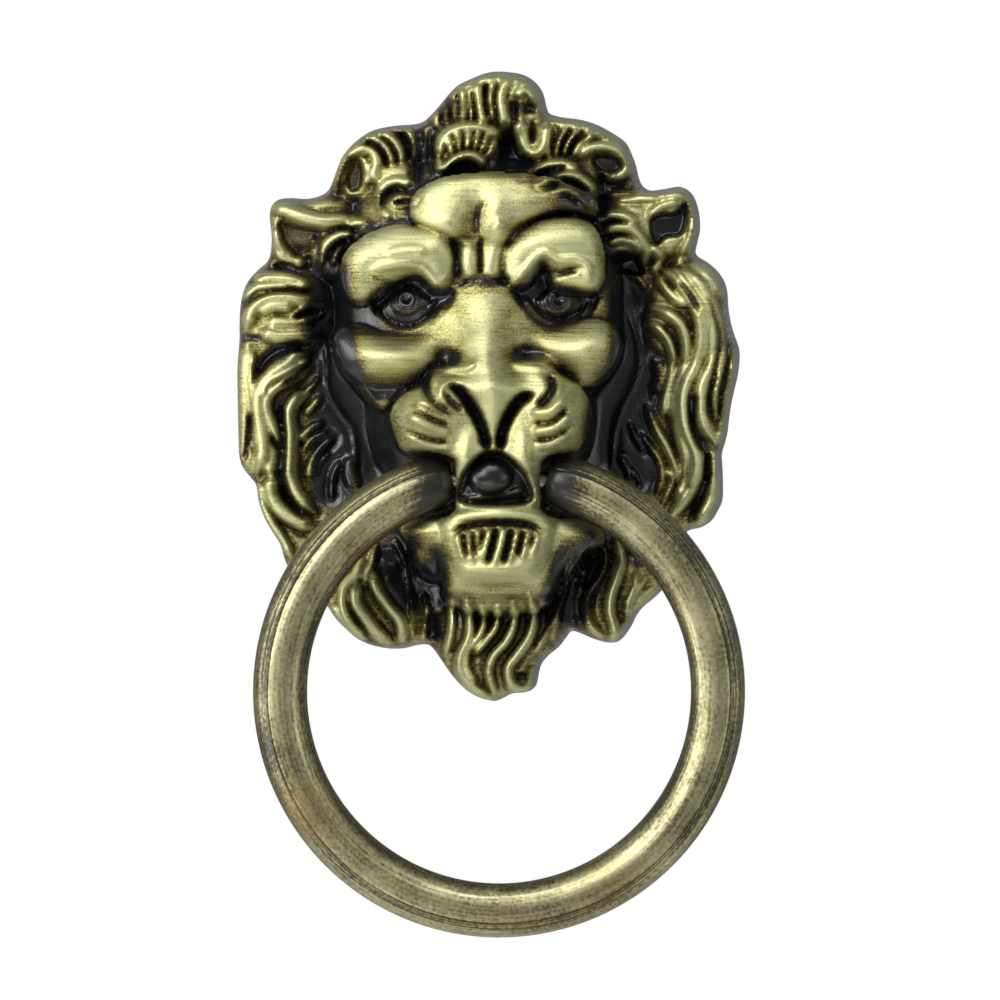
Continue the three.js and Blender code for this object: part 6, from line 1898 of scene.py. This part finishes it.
    def dome(self) -> bpy.types.Object:
        """The nut's domed cap: a quarter arc on a short shank, spun round.

        Returns:
            The cap.
        """
        radius, shank = self.nut_dome, self.nut_height - self.nut_dome
        arc = [(radius * math.cos(a), shank + radius * math.sin(a)) for a in np.linspace(0, math.pi / 2, 20)]
        piece = open_section([(0.0, 1.0), (radius, 1.0), *arc])
        with editing(piece):
            bpy.ops.mesh.spin(steps=64, angle=2 * math.pi, center=(0, 0, 0), axis=(0, 1, 0))
        piece.location = in_metres((0, self.nut_from, self.z))
        apply_place(piece)
        face_outwards(piece)
        return piece


# ---- the studio --------------------------------------------------------------------------------------


@dataclass
class Studio:
    """The camera, the soft lights and the pale floor."""

    view_middle: tuple[float, float] = (0.1, -12.0)
    view_width: float = 105.0
    distance: float = 900.0
    sensor_mm: float = 36.0
    face_plane: float = 8.0  # depth of the forms that the view's width is measured at
    floor_radius: float = 160.0
    floor_z: float = -125.0
    boxes: tuple[tuple[str, Place, tuple[float, float], float], ...] = (
        ("key_soft_box", (-350, -430, 230), (340, 360), 2.9),
        ("side_soft_box", (430, -260, 60), (220, 420), 0.45),
        ("left_strip", (-460, -140, -40), (180, 420), 1.4),
        ("top_soft_box", (-20, -340, 420), (420, 200), 1.4),
        ("low_fill", (-120, -420, -380), (400, 240), 1.2),
    )  # each lamp's name, place, size and power in watts

    def camera(self) -> None:
        """Looks straight at the door's face from far off."""
        data = bpy.data.cameras.new("camera")
        data.sensor_width = self.sensor_mm
        data.lens = self.sensor_mm * (self.distance - self.face_plane) / self.view_width
        camera = bpy.data.objects.new("camera", data)
        camera.location = in_metres((self.view_middle[0], -self.distance, self.view_middle[1]))
        camera.rotation_euler = (math.pi / 2, 0, 0)
        data.clip_start, data.clip_end = 0.01, 20
        bpy.context.scene.collection.objects.link(camera)
        bpy.context.scene.camera = camera

    def lights(self) -> None:
        """Hangs a key soft box on the upper left and weaker ones round it, each facing the mask's middle."""
        for name, place, size, power in self.boxes:
            data = bpy.data.lights.new(name, "AREA")
            data.shape = "RECTANGLE"
            data.size, data.size_y = size[0] * MM, size[1] * MM
            data.energy = power
            lamp = bpy.data.objects.new(name, data)
            lamp.location = Vector(place) * MM
            aim = Vector((0, 0, PIVOT_Z * MM)) - lamp.location
            lamp.rotation_euler = aim.to_track_quat("-Z", "Y").to_euler()
            bpy.context.scene.collection.objects.link(lamp)

    def room(self) -> None:
        """A white backdrop to the eye that lights the pieces only softly, so that the black stays deep."""
        world = bpy.data.worlds.new("studio")
        bpy.context.scene.world = world
        world.use_nodes = True
        tree = world.node_tree
        tree.nodes.clear()
        seen = add_node(tree, "LightPath", out="Is Camera Ray")
        glow = add_node(tree, "Background", {"Color": linear("e8ebee"), "Strength": 0.34})
        white = add_node(tree, "Background", {"Color": linear("ffffff"), "Strength": 1.0})
        mix = add_node(tree, "MixShader", {0: seen, 1: glow, 2: white})
        add_node(tree, "OutputWorld", {"Surface": mix})
        bpy.context.scene.view_settings.view_transform = "Standard"

    def floor(self) -> None:
        """A round pale floor well below the knocker."""
        deselect_all()
        bpy.ops.mesh.primitive_circle_add(vertices=96, radius=self.floor_radius * MM, fill_type="NGON",
                                          location=in_metres((0, 0, self.floor_z)))
        floor = bpy.context.object
        apply_place(floor)
        floor.name = "floor"
        floor.data.materials.append(PalePaper().build())


# ---- the assembly ------------------------------------------------------------------------------------


def main() -> None:
    """Builds every piece in the order that it is assembled."""
    logging.basicConfig(level=logging.INFO, format="%(name)s: %(message)s")
    plate, brushed = AntiqueBronze().build(), BrushedBronze().build()
    zinc, steel = ZincPlate().build(), GroundSteel().build()

    finish_piece(LionMask().build(), "lion_head", Body.MASK, "lion_mask", plate)
    finish_piece(PullRing().build(), "swinging_ring", Body.RING, "pull_ring", brushed)
    finish_piece(PivotPin().build(), "cross_pin", Body.MASK, "pivot_pin", steel)
    for place, height in (("upper", LionMask.boss_z), ("lower", -LionMask.boss_z)):
        fixing = Fixing(z=height)
        for node, made in (
            ("stud", fixing.stud()),
            ("washer", fixing.plain_washer()),
            ("lock_washer", fixing.lock_washer()),
            ("cap_nut", fixing.cap_nut()),
        ):
            finish_piece(made, f"{place}_{node}_detail", Body.MASK, f"{place}_{node}", zinc)

    studio = Studio()
    studio.camera()
    studio.lights()
    studio.room()
    studio.floor()
    deselect_all()


if __name__ == "__main__":
    main()
